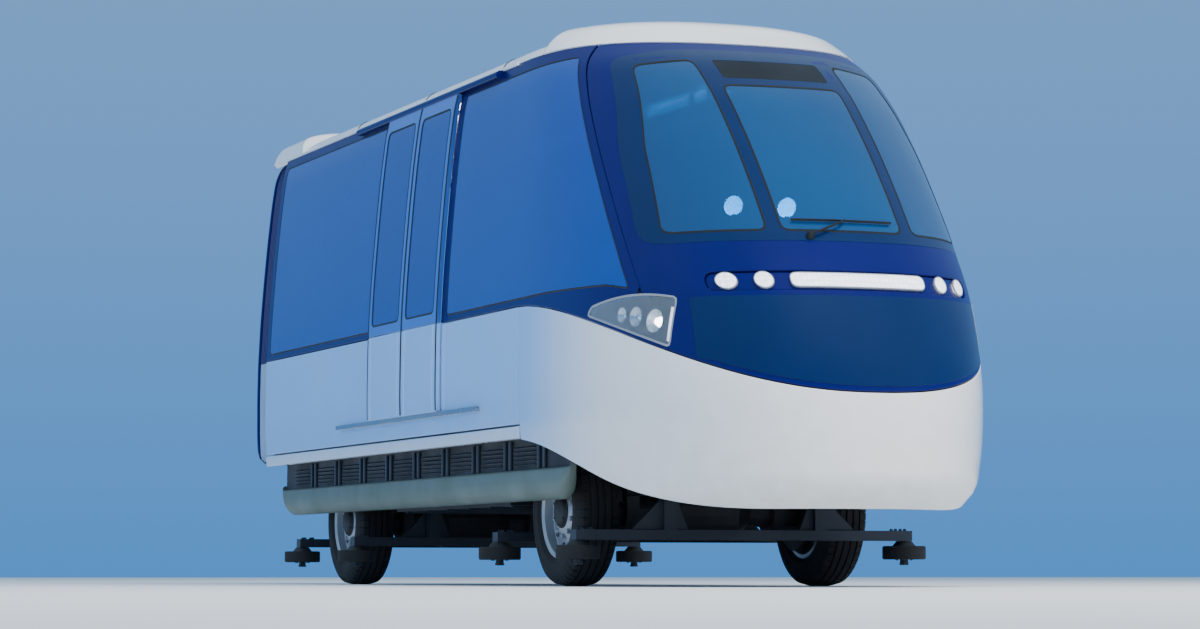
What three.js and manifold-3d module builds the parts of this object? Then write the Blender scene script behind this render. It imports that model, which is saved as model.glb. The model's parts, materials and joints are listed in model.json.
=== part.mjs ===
// Lead car of a small driverless train that runs on rubber tyres in a guideway: a smooth hollow
// body with a raked nose, sliding doors, half a gangway at the rear, and two steered bogies whose
// flat guide wheels follow the guideway's walls.
// Millimetres, +X towards the nose, +Z up. The origin is the middle of the car's footprint, on the
// running surface that the tyres stand on.

import * as THREE from "three";
import { mergeVertices } from "three/addons/utils/BufferGeometryUtils.js";
import Module from "manifold-3d";

const wasm = await Module();
wasm.setup();

// Driving dimensions of the car
const REAR_WALL_X = -4000;
const COUPLING_FACE_X = -4400;
const SILL_Z = 880;
const FLOOR_TOP_Z = 1100;
const FLOOR_BOTTOM_Z = 960;
const WAIST_Z = 1670;
const CANT_RAIL_Z = 3210;
const WALL = 60;
const GAP = 0.3;
const FAR = 6000;

// Outer skin, level by level: height, half width, x of the nose tip, x where the side curves in
const SKIN_LEVELS = [
  [420, 1020, 4200, 1900],
  [520, 1085, 4340, 1900],
  [700, 1125, 4395, 1900],
  [880, 1150, 4400, 1850],
  [1100, 1168, 4385, 1800],
  [1400, 1170, 4300, 1800],
  [1670, 1165, 4170, 1800],
  [1970, 1150, 3950, 1750],
  [2300, 1125, 3680, 1700],
  [2600, 1098, 3400, 1650],
  [2890, 1066, 3080, 1550],
  [3080, 1038, 2800, 1450],
  [3210, 1005, 2520, 1350],
];
// The roof above the cant rail, in the same columns: low along the middle, tall at both ends
const LOW_ROOF_LEVELS = [
  [3280, 930, 2420, 1250],
  [3310, 760, 2260, 1150],
  [3325, 400, 2000, 900],
  [3330, 120, 1700, 700],
];
const TALL_ROOF_LEVELS = [
  [3211, 1013, 2530, 1350],
  [3290, 978, 2400, 1250],
  [3360, 900, 2280, 1150],
  [3405, 700, 2080, 1000],
  [3425, 350, 1800, 800],
];
// Powers of the nose's plan curve, and its steps per side
const PLAN_POWER_X = 3.2;
const PLAN_POWER_Y = 2.4;
const NOSE_STEPS = 9;

// Lines on the side of the nose
const NOSE_SEAM_X = 1800;
const SWOOSH_END = { x: 4420, z: 1040 };
const SWOOSH_POWER = 1.6;
const CHIN = { fromX: 1600, toX: 4100, z: 420 };
const MASK_EDGE = { top: [2200, 3250], bottom: [3700, 1290] };

// Doors: each side has two leaves that slide apart
const DOOR = {
  centreX: -450,
  leafWidth: 760,
  bottomZ: 1105,
  topZ: 3150,
  openingHalf: 740,
  openingTopZ: 3130,
  clearance: 6,
  thickness: 30,
};
const RAIL_X = [-1980, 1080];

// Running gear
const AXLES = [
  ["front", 1800],
  ["rear", -2700],
];
const TYRE = { radius: 450, width: 270, centreY: 800, rimRadius: 285 };
const WHEEL_SEGMENTS = 24;
const AXLE_Z = TYRE.radius;
const AXLE_RADIUS = 90;
const STUB_RADIUS = 70;
const GUIDE = { armX: 700, armY: 1040, radius: 130, bottomZ: 160, topZ: 240, pinRadius: 25 };
const TURNTABLE = { radius: 420, topZ: 839.7, plateZ: 840, pinRadius: 60, boreRadius: 62 };

const SIDES = [
  ["right", -1],
  ["left", 1],
];

// Finishes
function finish(color, roughness, metalness = 0, opacity = 1) {
  return new THREE.MeshStandardMaterial({
    color,
    roughness,
    metalness,
    opacity,
    transparent: opacity < 1,
  });
}
const PALE_BLUE_PAINT = finish(0xc9dcf0, 0.3);
const WHITE_PAINT = finish(0xf2f6fa, 0.28);
const NAVY_PAINT = finish(0x0b1a5c, 0.18);
const BLUE_GLASS = finish(0x1c6bb0, 0.06, 0, 0.8);
const SCREEN_GLASS = finish(0x1d4f7c, 0.05, 0, 0.7);
const LAMP_LENS = finish(0xf4f7ff, 0.12);
const GREY_GREEN_PLASTIC = finish(0x8f9a86, 0.55);
const STEEL_PAINT = finish(0x3b424c, 0.5, 0.4);
const CAST_IRON = finish(0x4a4c4e, 0.6, 0.7);
const RIM_PAINT = finish(0xb4bac0, 0.4, 0.6);
const TYRE_RUBBER = finish(0x1c1d1f, 0.85);
const GREY_BELLOWS = finish(0x9db4cc, 0.8);
const NAVY_BELLOWS = finish(0x0d1f66, 0.75);
const SEAT_SHELL = finish(0x2f5f9a, 0.6);
const CONSOLE_PLASTIC = finish(0x3a4450, 0.6);

// A closed geometry as a solid that can be cut and joined
function solidOf(geometry) {
  const bare = geometry.index ? geometry.toNonIndexed() : geometry.clone();
  bare.deleteAttribute("normal");
  bare.deleteAttribute("uv");
  const merged = mergeVertices(bare, 1e-3);
  return new wasm.Manifold(
    new wasm.Mesh({
      numProp: 3,
      vertProperties: merged.attributes.position.array,
      triVerts: new Uint32Array(merged.index.array),
    }),
  );
}

// The solid's faces as a geometry again
function geometryOf(solid) {
  const faces = solid.getMesh();
  const geometry = new THREE.BufferGeometry();
  geometry.setAttribute("position", new THREE.BufferAttribute(faces.vertProperties, 3));
  geometry.setIndex(new THREE.BufferAttribute(faces.triVerts, 1));
  geometry.computeVertexNormals();
  return geometry;
}

function box([x0, x1], [y0, y1], [z0, z1]) {
  const geometry = new THREE.BoxGeometry(x1 - x0, y1 - y0, z1 - z0);
  geometry.translate((x0 + x1) / 2, (y0 + y1) / 2, (z0 + z1) / 2);
  return solidOf(geometry);
}

// A flat outline drawn out into a prism between two places on the third axis: a side view is
// (x, z) drawn out along Y, and a front view is (y, z) along X
const VIEWS = {
  side: [new THREE.Vector3(1, 0, 0), new THREE.Vector3(0, 0, 1), new THREE.Vector3(0, -1, 0)],
  front: [new THREE.Vector3(0, 1, 0), new THREE.Vector3(0, 0, 1), new THREE.Vector3(1, 0, 0)],
};
function prism(view, outline, [from, to]) {
  const shape = new THREE.Shape(outline.map(([u, v]) => new THREE.Vector2(u, v)));
  const geometry = new THREE.ExtrudeGeometry(shape, { depth: to - from, bevelEnabled: false });
  geometry.translate(0, 0, view === "side" ? -to : from);
  geometry.applyMatrix4(new THREE.Matrix4().makeBasis(...VIEWS[view]));
  return solidOf(geometry);
}

// A round bar along X or Z, between two places on it; centre gives the other two coordinates
function bar(axis, radius, [from, to], centre, segments = 24) {
  const geometry = new THREE.CylinderGeometry(radius, radius, to - from, segments);
  geometry.translate(0, (from + to) / 2, 0);
  if (axis === "x") geometry.rotateZ(-Math.PI / 2).translate(0, centre[0], centre[1]);
  if (axis === "z") geometry.rotateX(Math.PI / 2).translate(centre[0], centre[1], 0);
  return solidOf(geometry);
}

// A round closed profile of (radius, height) points turned about the Y axis. A facet lies at the
// bottom, and each radius is the distance to the middle of the facets.
function turned(profile, segments) {
  const stretch = 1 / Math.cos(Math.PI / segments);
  const points = profile.map(([r, h]) => new THREE.Vector2(r * stretch, h));
  return solidOf(new THREE.LatheGeometry([...points, points[0]], segments, Math.PI / segments));
}

function joined(solids) {
  return solids.reduce((sum, solid) => sum.add(solid));
}

function blended(a, b, share) {
  return a + (b - a) * share;
}

// The skin's half width, nose tip and curve start at any height
function skinAt(z) {
  const above = SKIN_LEVELS.findIndex((level) => level[0] >= z);
  const index = above < 0 ? SKIN_LEVELS.length - 1 : Math.max(above, 1);
  const low = SKIN_LEVELS[index - 1];
  const high = SKIN_LEVELS[index];
  const share = (z - low[0]) / (high[0] - low[0]);
  return [1, 2, 3].map((column) => blended(low[column], high[column], share));
}

// One horizontal ring of the body: from the rear along the right side, round the nose and back
// along the left. The nose is a superellipse quarter on each side.
function ring(z, [half, tip, start], inset, rearX) {
  const quarter = [];
  for (let step = 0; step <= NOSE_STEPS; step++) {
    const angle = (step / NOSE_STEPS) * (Math.PI / 2);
    const along = Math.sin(angle) ** (2 / PLAN_POWER_X);
    const across = step === NOSE_STEPS ? 0 : Math.cos(angle) ** (2 / PLAN_POWER_Y);
    quarter.push([blended(start, tip - 1.3 * inset, along), (half - inset) * across]);
  }
  const right = [[rearX, half - inset], ...quarter];
  const left = right.slice(0, -1).reverse();
  return [...right.map(([x, y]) => [x, -y, z]), ...left.map(([x, y]) => [x, y, z])];
}

// Closed solid through rings that lie one above another, each counter-clockwise from above
function loft(rings) {
  const count = rings[0].length;
  const top = (rings.length - 1) * count;
  const faces = [];
  for (let level = 0; level + 1 < rings.length; level++)
    for (let i = 0; i < count; i++) {
      const a = level * count + i;
      const b = level * count + ((i + 1) % count);
      faces.push(a, b, b + count, a, b + count, a + count);
    }
  for (let i = 1; i + 1 < count; i++) {
    faces.push(0, i + 1, i);
    faces.push(top, top + i, top + i + 1);
  }
  const geometry = new THREE.BufferGeometry();
  geometry.setAttribute("position", new THREE.Float32BufferAttribute(rings.flat(2), 3));
  geometry.setIndex(faces);
  return solidOf(geometry);
}

// The whole body as one solid, inset from the outer skin; a negative inset stands proud of it.
// An inset body runs out past the rear and the bottom, so that it opens the shell there.
function body(inset, roofLevels) {
  const open = inset > 0 ? 200 : 0;
  const rearX = REAR_WALL_X - open;
  const first = SKIN_LEVELS[0];
  const rings = [ring(first[0] - open - 1, first.slice(1), inset, rearX)];
  for (const [z, ...section] of SKIN_LEVELS.slice(0, -1)) rings.push(ring(z, section, inset, rearX));
  for (const [z, ...section] of [SKIN_LEVELS.at(-1), ...roofLevels])
    rings.push(ring(z - inset, section, Math.min(inset, section[0] / 2), rearX));
  return loft(rings);
}

function swooshZ(x) {
  const share = Math.max(0, (x - NOSE_SEAM_X) / (SWOOSH_END.x - NOSE_SEAM_X));
  return WAIST_Z - (WAIST_Z - SWOOSH_END.z) * share ** SWOOSH_POWER;
}

function chinZ(x) {
  const share = Math.min(1, Math.max(0, (x - CHIN.fromX) / (CHIN.toX - CHIN.fromX)));
  return SILL_Z - (SILL_Z - CHIN.z) * share * share * (3 - 2 * share);
}

function maskEdgeX(z) {
  const [topX, topZ] = MASK_EDGE.top;
  const [bottomX, bottomZ] = MASK_EDGE.bottom;
  return blended(bottomX, topX, (z - bottomZ) / (topZ - bottomZ));
}

// Points of a curve z(x) between two x, lifted a little
function along(curve, [from, to], steps, lift) {
  return Array.from({ length: steps + 1 }, (_, i) => {
    const x = blended(from, to, i / steps);
    return [x, curve(x) + lift];
  });
}

// The line between the white bumper and what lies above it, which three panels share
const MASK_FOOT_X = MASK_EDGE.bottom[0];
const SWOOSH_STATIONS = [NOSE_SEAM_X, 2150, 2500, 2850, 3150, 3425, MASK_FOOT_X, 4000, 4250, 4500];
function swooshLine([from, to], lift, shift = 0) {
  const stations = SWOOSH_STATIONS.filter((x) => x >= from && x <= to);
  return stations.map((x) => [x + shift, swooshZ(x) + lift]);
}

const outer = body(0, LOW_ROOF_LEVELS);
const outerTall = body(0, TALL_ROOF_LEVELS);
const inner = body(WALL, LOW_ROOF_LEVELS);
const skin = outer.subtract(inner);

// A thin sheet of the skin, from one depth below the outer surface to another
function sheet(from, to) {
  return body(from, LOW_ROOF_LEVELS).subtract(body(to, LOW_ROOF_LEVELS));
}
const paneSheet = outer.subtract(body(16, LOW_ROOF_LEVELS));

function half(side) {
  return side < 0 ? [-FAR, -1] : [1, FAR];
}

const doorway = {
  x: [DOOR.centreX - DOOR.openingHalf, DOOR.centreX + DOOR.openingHalf],
  z: [FLOOR_TOP_Z, DOOR.openingTopZ],
};

// Outline of a body side in front view, at a height and a stand-off from the skin
function sidePoints(side, heights, standOff) {
  return heights.map((z) => [side * (skinAt(z)[0] + standOff), z]);
}
function sideStrip(side, heights, [near, far], span) {
  const outline = [
    ...sidePoints(side, heights, near),
    ...sidePoints(side, [...heights].reverse(), far),
  ];
  return prism("front", outline, span);
}

// Lower side panel, with the threshold rail that the door leaves run on
function lowerSide(side) {
  const panel = skin.intersect(
    box([REAR_WALL_X, NOSE_SEAM_X - GAP / 2], half(side), [SILL_Z, WAIST_Z - GAP / 2]),
  );
  const rail = sideStrip(side, [1075, DOOR.bottomZ - 0.5], [-30, 36], RAIL_X);
  return panel.subtract(box(doorway.x, half(side), doorway.z)).add(rail);
}

// Side windows, in side view
const SIDE_GLASS = { bottomZ: 1715, topZ: 3130, rearX: -3890, pillar: 95, foot: [3080, 1700] };
function sideWindows() {
  const { bottomZ, topZ, rearX, pillar, foot } = SIDE_GLASS;
  const doorRear = DOOR.centreX - DOOR.leafWidth - pillar;
  const doorFront = DOOR.centreX + DOOR.leafWidth + pillar;
  return {
    rear: [[rearX, bottomZ], [doorRear, bottomZ], [doorRear, topZ], [rearX, topZ]],
    front: [
      [doorFront, bottomZ],
      [2300, bottomZ],
      foot,
      [maskEdgeX(1665) - 90, 1665],
      [maskEdgeX(topZ) - 70, topZ],
      [doorFront, topZ],
    ],
  };
}

// The same outline with every edge moved inwards by an amount
function shrunk(outline, amount) {
  const points = outline.map(([u, v]) => new THREE.Vector2(u, v));
  const turn = THREE.ShapeUtils.area(points) > 0 ? 1 : -1;
  return points.map((point, i) => {
    const [before, after] = [points.at(i - 1), points[(i + 1) % points.length]];
    const [first, second] = [point.clone().sub(before), after.clone().sub(point)].map((edge) =>
      new THREE.Vector2(-edge.y, edge.x).normalize().multiplyScalar(turn),
    );
    const step = first.clone().add(second).multiplyScalar(amount / (1 + first.dot(second)));
    return [point.x + step.x, point.y + step.y];
  });
}

const HEADLAMP = { rearX: 2900, frontX: 3700, rearRise: 40, height: 280 };
function headlampOutline() {
  const { rearX, frontX, rearRise, height } = HEADLAMP;
  const bottom = along(swooshZ, [rearX, frontX], 4, 25);
  const top = [1, 0.75, 0.45, 0.15].map((share) => {
    const x = blended(rearX, frontX, share);
    const rise = rearRise + (height - rearRise) * Math.sin((share * Math.PI) / 2.4);
    return [x, swooshZ(x) + 25 + rise];
  });
  return [...bottom, ...top];
}

// Upper side, dark between the panes, back to the mask's slanted edge
function windowBand(side) {
  const outline = [
    [REAR_WALL_X, WAIST_Z + GAP / 2],
    ...swooshLine([NOSE_SEAM_X, MASK_FOOT_X], GAP / 2, -GAP),
    [maskEdgeX(CANT_RAIL_Z) - GAP, CANT_RAIL_Z - GAP / 2],
    [REAR_WALL_X, CANT_RAIL_Z - GAP / 2],
  ];
  const panel = skin.intersect(prism("side", outline, half(side)));
  const cuts = joined([
    box(doorway.x, half(side), doorway.z),
    ...Object.values(sideWindows()).map((window) => prism("side", window, half(side))),
    prism("side", headlampOutline(), half(side)),
  ]);
  const rail = sideStrip(side, [DOOR.topZ + 5, 3200], [-30, 50], RAIL_X);
  return panel.subtract(cuts).add(rail);
}

// Wind screen panes, in front view: centre, then one to each side
const SCREEN = { bottomZ: 1960, centreHalf: 365, centreTopZ: 2880, sideInner: 440 };
function screenOutlines() {
  const { bottomZ, centreHalf, centreTopZ, sideInner } = SCREEN;
  const pane = [[sideInner, bottomZ], [900, bottomZ], [860, 2500], [760, 3030], [sideInner, 3060]];
  const sideOutline = (side) => pane.map(([y, z]) => [side * y, z]);
  return {
    centre: [
      [-centreHalf, bottomZ],
      [centreHalf, bottomZ],
      [centreHalf, centreTopZ],
      [-centreHalf, centreTopZ],
    ],
    right: sideOutline(-1),
    left: sideOutline(1),
  };
}

const LIGHT_ROW = {
  z: 1670,
  halfHeight: 55,
  halfWidth: 790,
  lampY: [530, 700],
  lensRadius: 46,
  barHalfWidth: 400,
  barHalfHeight: 40,
  proud: 12,
};
function lightRowOutline() {
  const { z, halfHeight: h, halfWidth: w } = LIGHT_ROW;
  return [[-w, z - h], [w, z - h], [w, z + h], [-w, z + h]];
}

const SCREEN_SPAN = [2300, FAR];

function noseMask() {
  const outline = [
    ...swooshLine([MASK_FOOT_X, FAR], GAP, GAP),
    [SWOOSH_STATIONS.at(-1), CANT_RAIL_Z - GAP / 2],
    [maskEdgeX(CANT_RAIL_Z) + GAP, CANT_RAIL_Z - GAP / 2],
  ];
  const panel = skin.intersect(prism("side", outline, [-FAR, FAR]));
  const cuts = joined([
    ...Object.values(screenOutlines()).map((pane) => prism("front", pane, SCREEN_SPAN)),
    prism("front", lightRowOutline(), SCREEN_SPAN),
    prism("side", headlampOutline(), [-FAR, FAR]),
  ]);
  return panel.subtract(cuts);
}

function noseBumper() {
  const outline = [
    ...along(chinZ, [NOSE_SEAM_X + GAP / 2, SWOOSH_STATIONS.at(-1)], 6, 0),
    ...swooshLine([NOSE_SEAM_X, FAR], -GAP / 2, GAP / 2).reverse(),
  ];
  return skin
    .intersect(prism("side", outline, [-FAR, FAR]))
    .subtract(prism("side", headlampOutline(), [-FAR, FAR]));
}

// Row of lamps at the waist: a bar between two round lamps on each side, in one housing
function lightRow() {
  const { z, lampY, lensRadius, barHalfWidth, barHalfHeight, proud } = LIGHT_ROW;
  const outline = shrunk(lightRowOutline(), GAP);
  const housing = sheet(0, 40).intersect(prism("front", outline, SCREEN_SPAN));
  const lenses = lampY
    .flatMap((y) => [-y, y])
    .map((y) => bar("x", lensRadius, SCREEN_SPAN, [y, z], 16));
  const middle = box(
    SCREEN_SPAN,
    [-barHalfWidth, barHalfWidth],
    [z - barHalfHeight, z + barHalfHeight],
  );
  return housing.add(sheet(-proud, 20).intersect(joined([...lenses, middle])));
}

function headlamp(side) {
  return sheet(0, 50).intersect(prism("side", shrunk(headlampOutline(), GAP), half(side)));
}

const CAPS = { frontX: 1750, rearX: -3560, taper: 270, coverInset: 25 };
function roof() {
  const { frontX, rearX, taper } = CAPS;
  const [low, high] = [CANT_RAIL_Z + GAP / 2, TALL_ROOF_LEVELS.at(-1)[0] + 5];
  const front = [[frontX, low], [FAR, low], [FAR, high], [frontX, high]];
  const middle = [[rearX, low], [frontX, low], [frontX, high], [rearX - taper, high]];
  const rear = [[-FAR, low], [rearX, low], [rearX - taper, high], [-FAR, high]];
  const piece = (solid, outline) => solid.intersect(prism("side", outline, [-FAR, FAR]));
  const pieces = [piece(outerTall, front), piece(outer, middle), piece(outerTall, rear)];
  const crown = TALL_ROOF_LEVELS.map(([z, width]) => [width, z]);
  const arch = (inset, footZ) => {
    const foot = [SKIN_LEVELS.at(-1)[1] - inset, footZ];
    const right = [foot, ...crown.map(([y, z]) => [y - inset, z - inset])];
    return [...right, ...right.map(([y, z]) => [-y, z]).reverse()];
  };
  const footZ = CANT_RAIL_Z + GAP / 2;
  const cover = prism("front", arch(0, footZ), [COUPLING_FACE_X + 30, REAR_WALL_X + 5]).subtract(
    prism("front", arch(CAPS.coverInset, footZ - 10), [-FAR, 0]),
  );
  return joined(pieces).subtract(inner).add(cover);
}

// Wall at the rear with the way through to the next car
const PASSAGE = { half: 650, topZ: 3050 };
function endWall() {
  const slab = body(WALL + GAP, LOW_ROOF_LEVELS).intersect(
    box([REAR_WALL_X + 10, REAR_WALL_X + 70], [-FAR, FAR], [FLOOR_TOP_Z + GAP, FAR]),
  );
  return slab.subtract(
    box([-FAR, 0], [-PASSAGE.half, PASSAGE.half], [0, PASSAGE.topZ]),
  );
}

// Bellows of the gangway: folds are hoops that step in and out by turns
const BELLOWS = { fromX: -4369.7, toX: -4000.3, folds: 9, wall: 40, fold: 22, inset: 55 };
const HOOP_HEIGHTS = [1100, 1400, WAIST_Z, 1970, 2300, 2600, 2890, 3080];
function hoop(inset, topInset) {
  const right = HOOP_HEIGHTS.map((z) => [skinAt(z)[0] - inset, z]);
  const crown = [
    [990 - inset, CANT_RAIL_Z - topInset],
    [900 - inset, 3260 - topInset],
    [500, 3290 - topInset],
  ];
  const foot = [[skinAt(FLOOR_BOTTOM_Z)[0] - inset, FLOOR_BOTTOM_Z - 40 + topInset]];
  const rightSide = [...foot, ...right, ...crown];
  return [...rightSide, ...rightSide.map(([y, z]) => [-y, z]).reverse()];
}
function bellows() {
  const { fromX, toX, folds, wall, fold, inset } = BELLOWS;
  const pitch = (toX - fromX) / folds;
  const hoops = Array.from({ length: folds }, (_, i) => {
    const depth = inset + (i % 2) * fold;
    const span = [fromX + i * pitch, fromX + (i + 1) * pitch];
    return prism("front", hoop(depth, depth - inset), span);
  });
  const clear = prism("front", hoop(inset + fold + wall, fold + wall), [-FAR, FAR]);
  return joined(hoops).subtract(clear);
}
const wholeBellows = bellows();

function gangwayFrame() {
  const span = [COUPLING_FACE_X, COUPLING_FACE_X + 30];
  return prism("front", hoop(40, -15), span).subtract(prism("front", hoop(130, 75), [-FAR, FAR]));
}

// Frame under the car, with the floor, the bolster plates, the gangway's footplate and four pads
// that jacks lift it by
const SILL_BEAM = { x: [-3950, 3300], y: [340, 460] };
const LIFT_PAD = { x: [-3800, 3000], halfLength: 80, bottomZ: 820 };
function sillSpan(side) {
  return SILL_BEAM.y.map((y) => side * y).sort((a, b) => a - b);
}
function underframe() {
  const floor = body(WALL + GAP, LOW_ROOF_LEVELS).intersect(
    box([REAR_WALL_X + 10, 4100], [-FAR, FAR], [FLOOR_BOTTOM_Z, FLOOR_TOP_Z]),
  );
  const sills = SIDES.map(([, side]) =>
    box(SILL_BEAM.x, sillSpan(side), [TURNTABLE.plateZ, FLOOR_BOTTOM_Z + 1]),
  );
  const pads = LIFT_PAD.x.flatMap((x) =>
    SIDES.map(([, side]) =>
      box(
        [x - LIFT_PAD.halfLength, x + LIFT_PAD.halfLength],
        sillSpan(side),
        [LIFT_PAD.bottomZ, TURNTABLE.plateZ + 1],
      ),
    ),
  );
  const bolsters = AXLES.map(([, x]) =>
    box([x - 450, x + 450], [-450, 450], [TURNTABLE.plateZ, FLOOR_BOTTOM_Z + 1]),
  );
  const bores = AXLES.map(([, x]) =>
    bar("z", TURNTABLE.boreRadius, [TURNTABLE.plateZ - 10, 920], [x, 0]),
  );
  const footplate = box([COUPLING_FACE_X + 40, REAR_WALL_X + 30], [-600, 600], [1060, FLOOR_TOP_Z]);
  return joined([floor, ...sills, ...pads, ...bolsters, footplate]).subtract(joined(bores));
}

function coupler() {
  return joined([
    box([-3900, -3600], [-110, 110], [590, FLOOR_BOTTOM_Z - GAP]),
    bar("x", 55, [-4360, -3700], [0, 640], 16),
    box([COUPLING_FACE_X, -4290], [-130, 130], [550, 730]),
  ]);
}

// Skirt below the sill: a fat lower lip under a recessed upper half, with rounded ends
const SKIRT = { rearX: -3850, frontX: 2450, bottomZ: 510, lipZ: 700, endRadius: 220 };
function skirt(side) {
  const { rearX, frontX, bottomZ, lipZ, endRadius } = SKIRT;
  const profile = [
    [1005, bottomZ],
    [1040, bottomZ],
    [1080, 560],
    [1085, lipZ - 20],
    [1060, lipZ],
    [1062, SILL_Z],
    [1080, FLOOR_BOTTOM_Z - GAP],
    [1030, FLOOR_BOTTOM_Z - GAP],
    [1012, SILL_Z],
  ].map(([y, z]) => [side * y, z]);
  const corner = (x, direction) =>
    [0, 30, 60, 90].map((degrees) => {
      const angle = (degrees * Math.PI) / 180;
      return [
        x + direction * endRadius * Math.sin(angle),
        bottomZ + endRadius * (1 - Math.cos(angle)),
      ];
    });
  const outline = [
    ...corner(frontX - endRadius, 1),
    [frontX, FLOOR_BOTTOM_Z],
    [rearX, FLOOR_BOTTOM_Z],
    ...corner(rearX + endRadius, -1).reverse(),
  ];
  return prism("front", profile, [rearX, frontX]).intersect(prism("side", outline, half(side)));
}

// Seats stand along the walls behind the doors, and one bench stands before the console, facing back
const SIDE_BENCH = { x: [-3800, -1450], frontY: 640, seatZ: 1560, backTopZ: 1960 };
function seatProfile(side) {
  return [
    [SIDE_BENCH.frontY, FLOOR_TOP_Z + GAP],
    [FAR, FLOOR_TOP_Z + GAP],
    [FAR, SIDE_BENCH.backTopZ],
    [1000, SIDE_BENCH.backTopZ],
    [960, SIDE_BENCH.seatZ - 20],
    [SIDE_BENCH.frontY, SIDE_BENCH.seatZ],
  ].map(([y, z]) => [side * y, z]);
}
function sideBench(side) {
  const bench = prism("front", seatProfile(side), SIDE_BENCH.x);
  return body(WALL + 2, LOW_ROOF_LEVELS).intersect(bench);
}
function frontBench() {
  const outline = [
    [2350, FLOOR_TOP_Z + GAP],
    [2900, FLOOR_TOP_Z + GAP],
    [2940, 1940],
    [2870, 1940],
    [2800, SIDE_BENCH.seatZ - 20],
    [2350, SIDE_BENCH.seatZ],
  ];
  return prism("side", outline, [-700, 700]);
}
function consoleBlock() {
  const outline = [
    [2980, FLOOR_TOP_Z + GAP],
    [3950, FLOOR_TOP_Z + GAP],
    [3950, 1480],
    [3800, 1600],
    [2990, 1800],
  ];
  return prism("side", outline, [-760, 760]).intersect(body(WALL + 2, LOW_ROOF_LEVELS));
}

// Door leaf in its shut place, with a window; it hangs outside the body side
const LEAF_HEIGHTS = [DOOR.bottomZ, 1400, WAIST_Z, 1970, 2300, 2600, 2890, 3080, DOOR.topZ];
const LEAF_WINDOW = { margin: 90, z: [1740, 3050] };
const LEAF_PANE_HEIGHTS = [LEAF_WINDOW.z[0] + GAP, 1970, 2300, 2600, 2890, LEAF_WINDOW.z[1] - GAP];
function doorLeaf(side) {
  const reach = DOOR.leafWidth / 2 - 1;
  const depth = [DOOR.clearance, DOOR.clearance + DOOR.thickness];
  const opening = box(
    [-reach + LEAF_WINDOW.margin, reach - LEAF_WINDOW.margin],
    half(side),
    LEAF_WINDOW.z,
  );
  return sideStrip(side, LEAF_HEIGHTS, depth, [-reach, reach]).subtract(opening);
}
function doorPane(side) {
  const reach = DOOR.leafWidth / 2 - 1 - LEAF_WINDOW.margin - GAP;
  return sideStrip(side, LEAF_PANE_HEIGHTS, [20, 32], [-reach, reach]);
}

// Running gear of one axle; places are relative to the turntable's centre
function bogieFrame() {
  const beams = SIDES.map(([, side]) => {
    const y = [side * 435, side * 525].sort((a, b) => a - b);
    return box([-760, 760], y, [AXLE_Z + AXLE_RADIUS + GAP, 660]);
  });
  const arms = [-GUIDE.armX, GUIDE.armX].flatMap((x) => [
    box([x - 50, x + 50], [-GUIDE.armY - 30, GUIDE.armY + 30], [270, 330]),
    ...SIDES.flatMap(([, side]) => [
      box([x - 45, x + 45], [side * 480 - 40, side * 480 + 40], [329, AXLE_Z + 100]),
      bar("z", GUIDE.pinRadius, [140, 271], [x, side * GUIDE.armY], 12),
    ]),
  ]);
  const bolster = box([-260, 260], [-525, 525], [650, 801]);
  const turntable = bar("z", TURNTABLE.radius, [800, TURNTABLE.topZ], [0, 0], 24);
  const kingpin = bar("z", TURNTABLE.pinRadius, [TURNTABLE.topZ - 1, 905], [0, 0]);
  return joined([...beams, ...arms, bolster, turntable, kingpin]);
}
function axle() {
  const reach = TYRE.centreY + TYRE.width / 2 - 40;
  return turned(
    [
      [0, -reach],
      [STUB_RADIUS, -reach],
      [STUB_RADIUS, -600],
      [AXLE_RADIUS, -600],
      [AXLE_RADIUS, -300],
      [185, -190],
      [185, 190],
      [AXLE_RADIUS, 300],
      [AXLE_RADIUS, 600],
      [STUB_RADIUS, 600],
      [STUB_RADIUS, reach],
      [0, reach],
    ],
    20,
  );
}
function tyre() {
  const w = TYRE.width / 2;
  const r = TYRE.radius;
  const inside = TYRE.rimRadius + GAP;
  return turned(
    [
      [inside, -w + 25],
      [inside + 25, -w],
      [r - 70, -w],
      [r - 12, -w + 30],
      [r, -w + 80],
      [r, w - 80],
      [r - 12, w - 30],
      [r - 70, w],
      [inside + 25, w],
      [inside, w - 25],
    ],
    WHEEL_SEGMENTS,
  );
}
function rim() {
  const w = TYRE.width / 2;
  const bore = STUB_RADIUS + 1.5;
  return turned(
    [
      [bore, -50],
      [120, -50],
      [200, 20],
      [TYRE.rimRadius - 30, 20],
      [TYRE.rimRadius - 30, -w + 20],
      [TYRE.rimRadius, -w + 20],
      [TYRE.rimRadius, w - 20],
      [TYRE.rimRadius - 30, w - 20],
      [TYRE.rimRadius - 30, 45],
      [190, 45],
      [120, 85],
      [bore, 85],
    ],
    WHEEL_SEGMENTS,
  );
}
function guideWheel() {
  const bore = GUIDE.pinRadius + 1;
  const height = (GUIDE.topZ - GUIDE.bottomZ) / 2;
  const hubTop = 270 - GAP - (GUIDE.bottomZ + GUIDE.topZ) / 2;
  return turned(
    [
      [bore, -height],
      [GUIDE.radius, -height],
      [GUIDE.radius, height],
      [70, height],
      [48, hubTop],
      [bore, hubTop],
    ],
    16,
  );
}

function place(group, name, solid, material, position = [0, 0, 0]) {
  const mesh = new THREE.Mesh(geometryOf(solid), material);
  mesh.name = name;
  mesh.position.set(...position);
  group.add(mesh);
  return mesh;
}

const car = new THREE.Group();
const shell = new THREE.Group();
const cabin = new THREE.Group();
car.add(shell, cabin);

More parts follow.
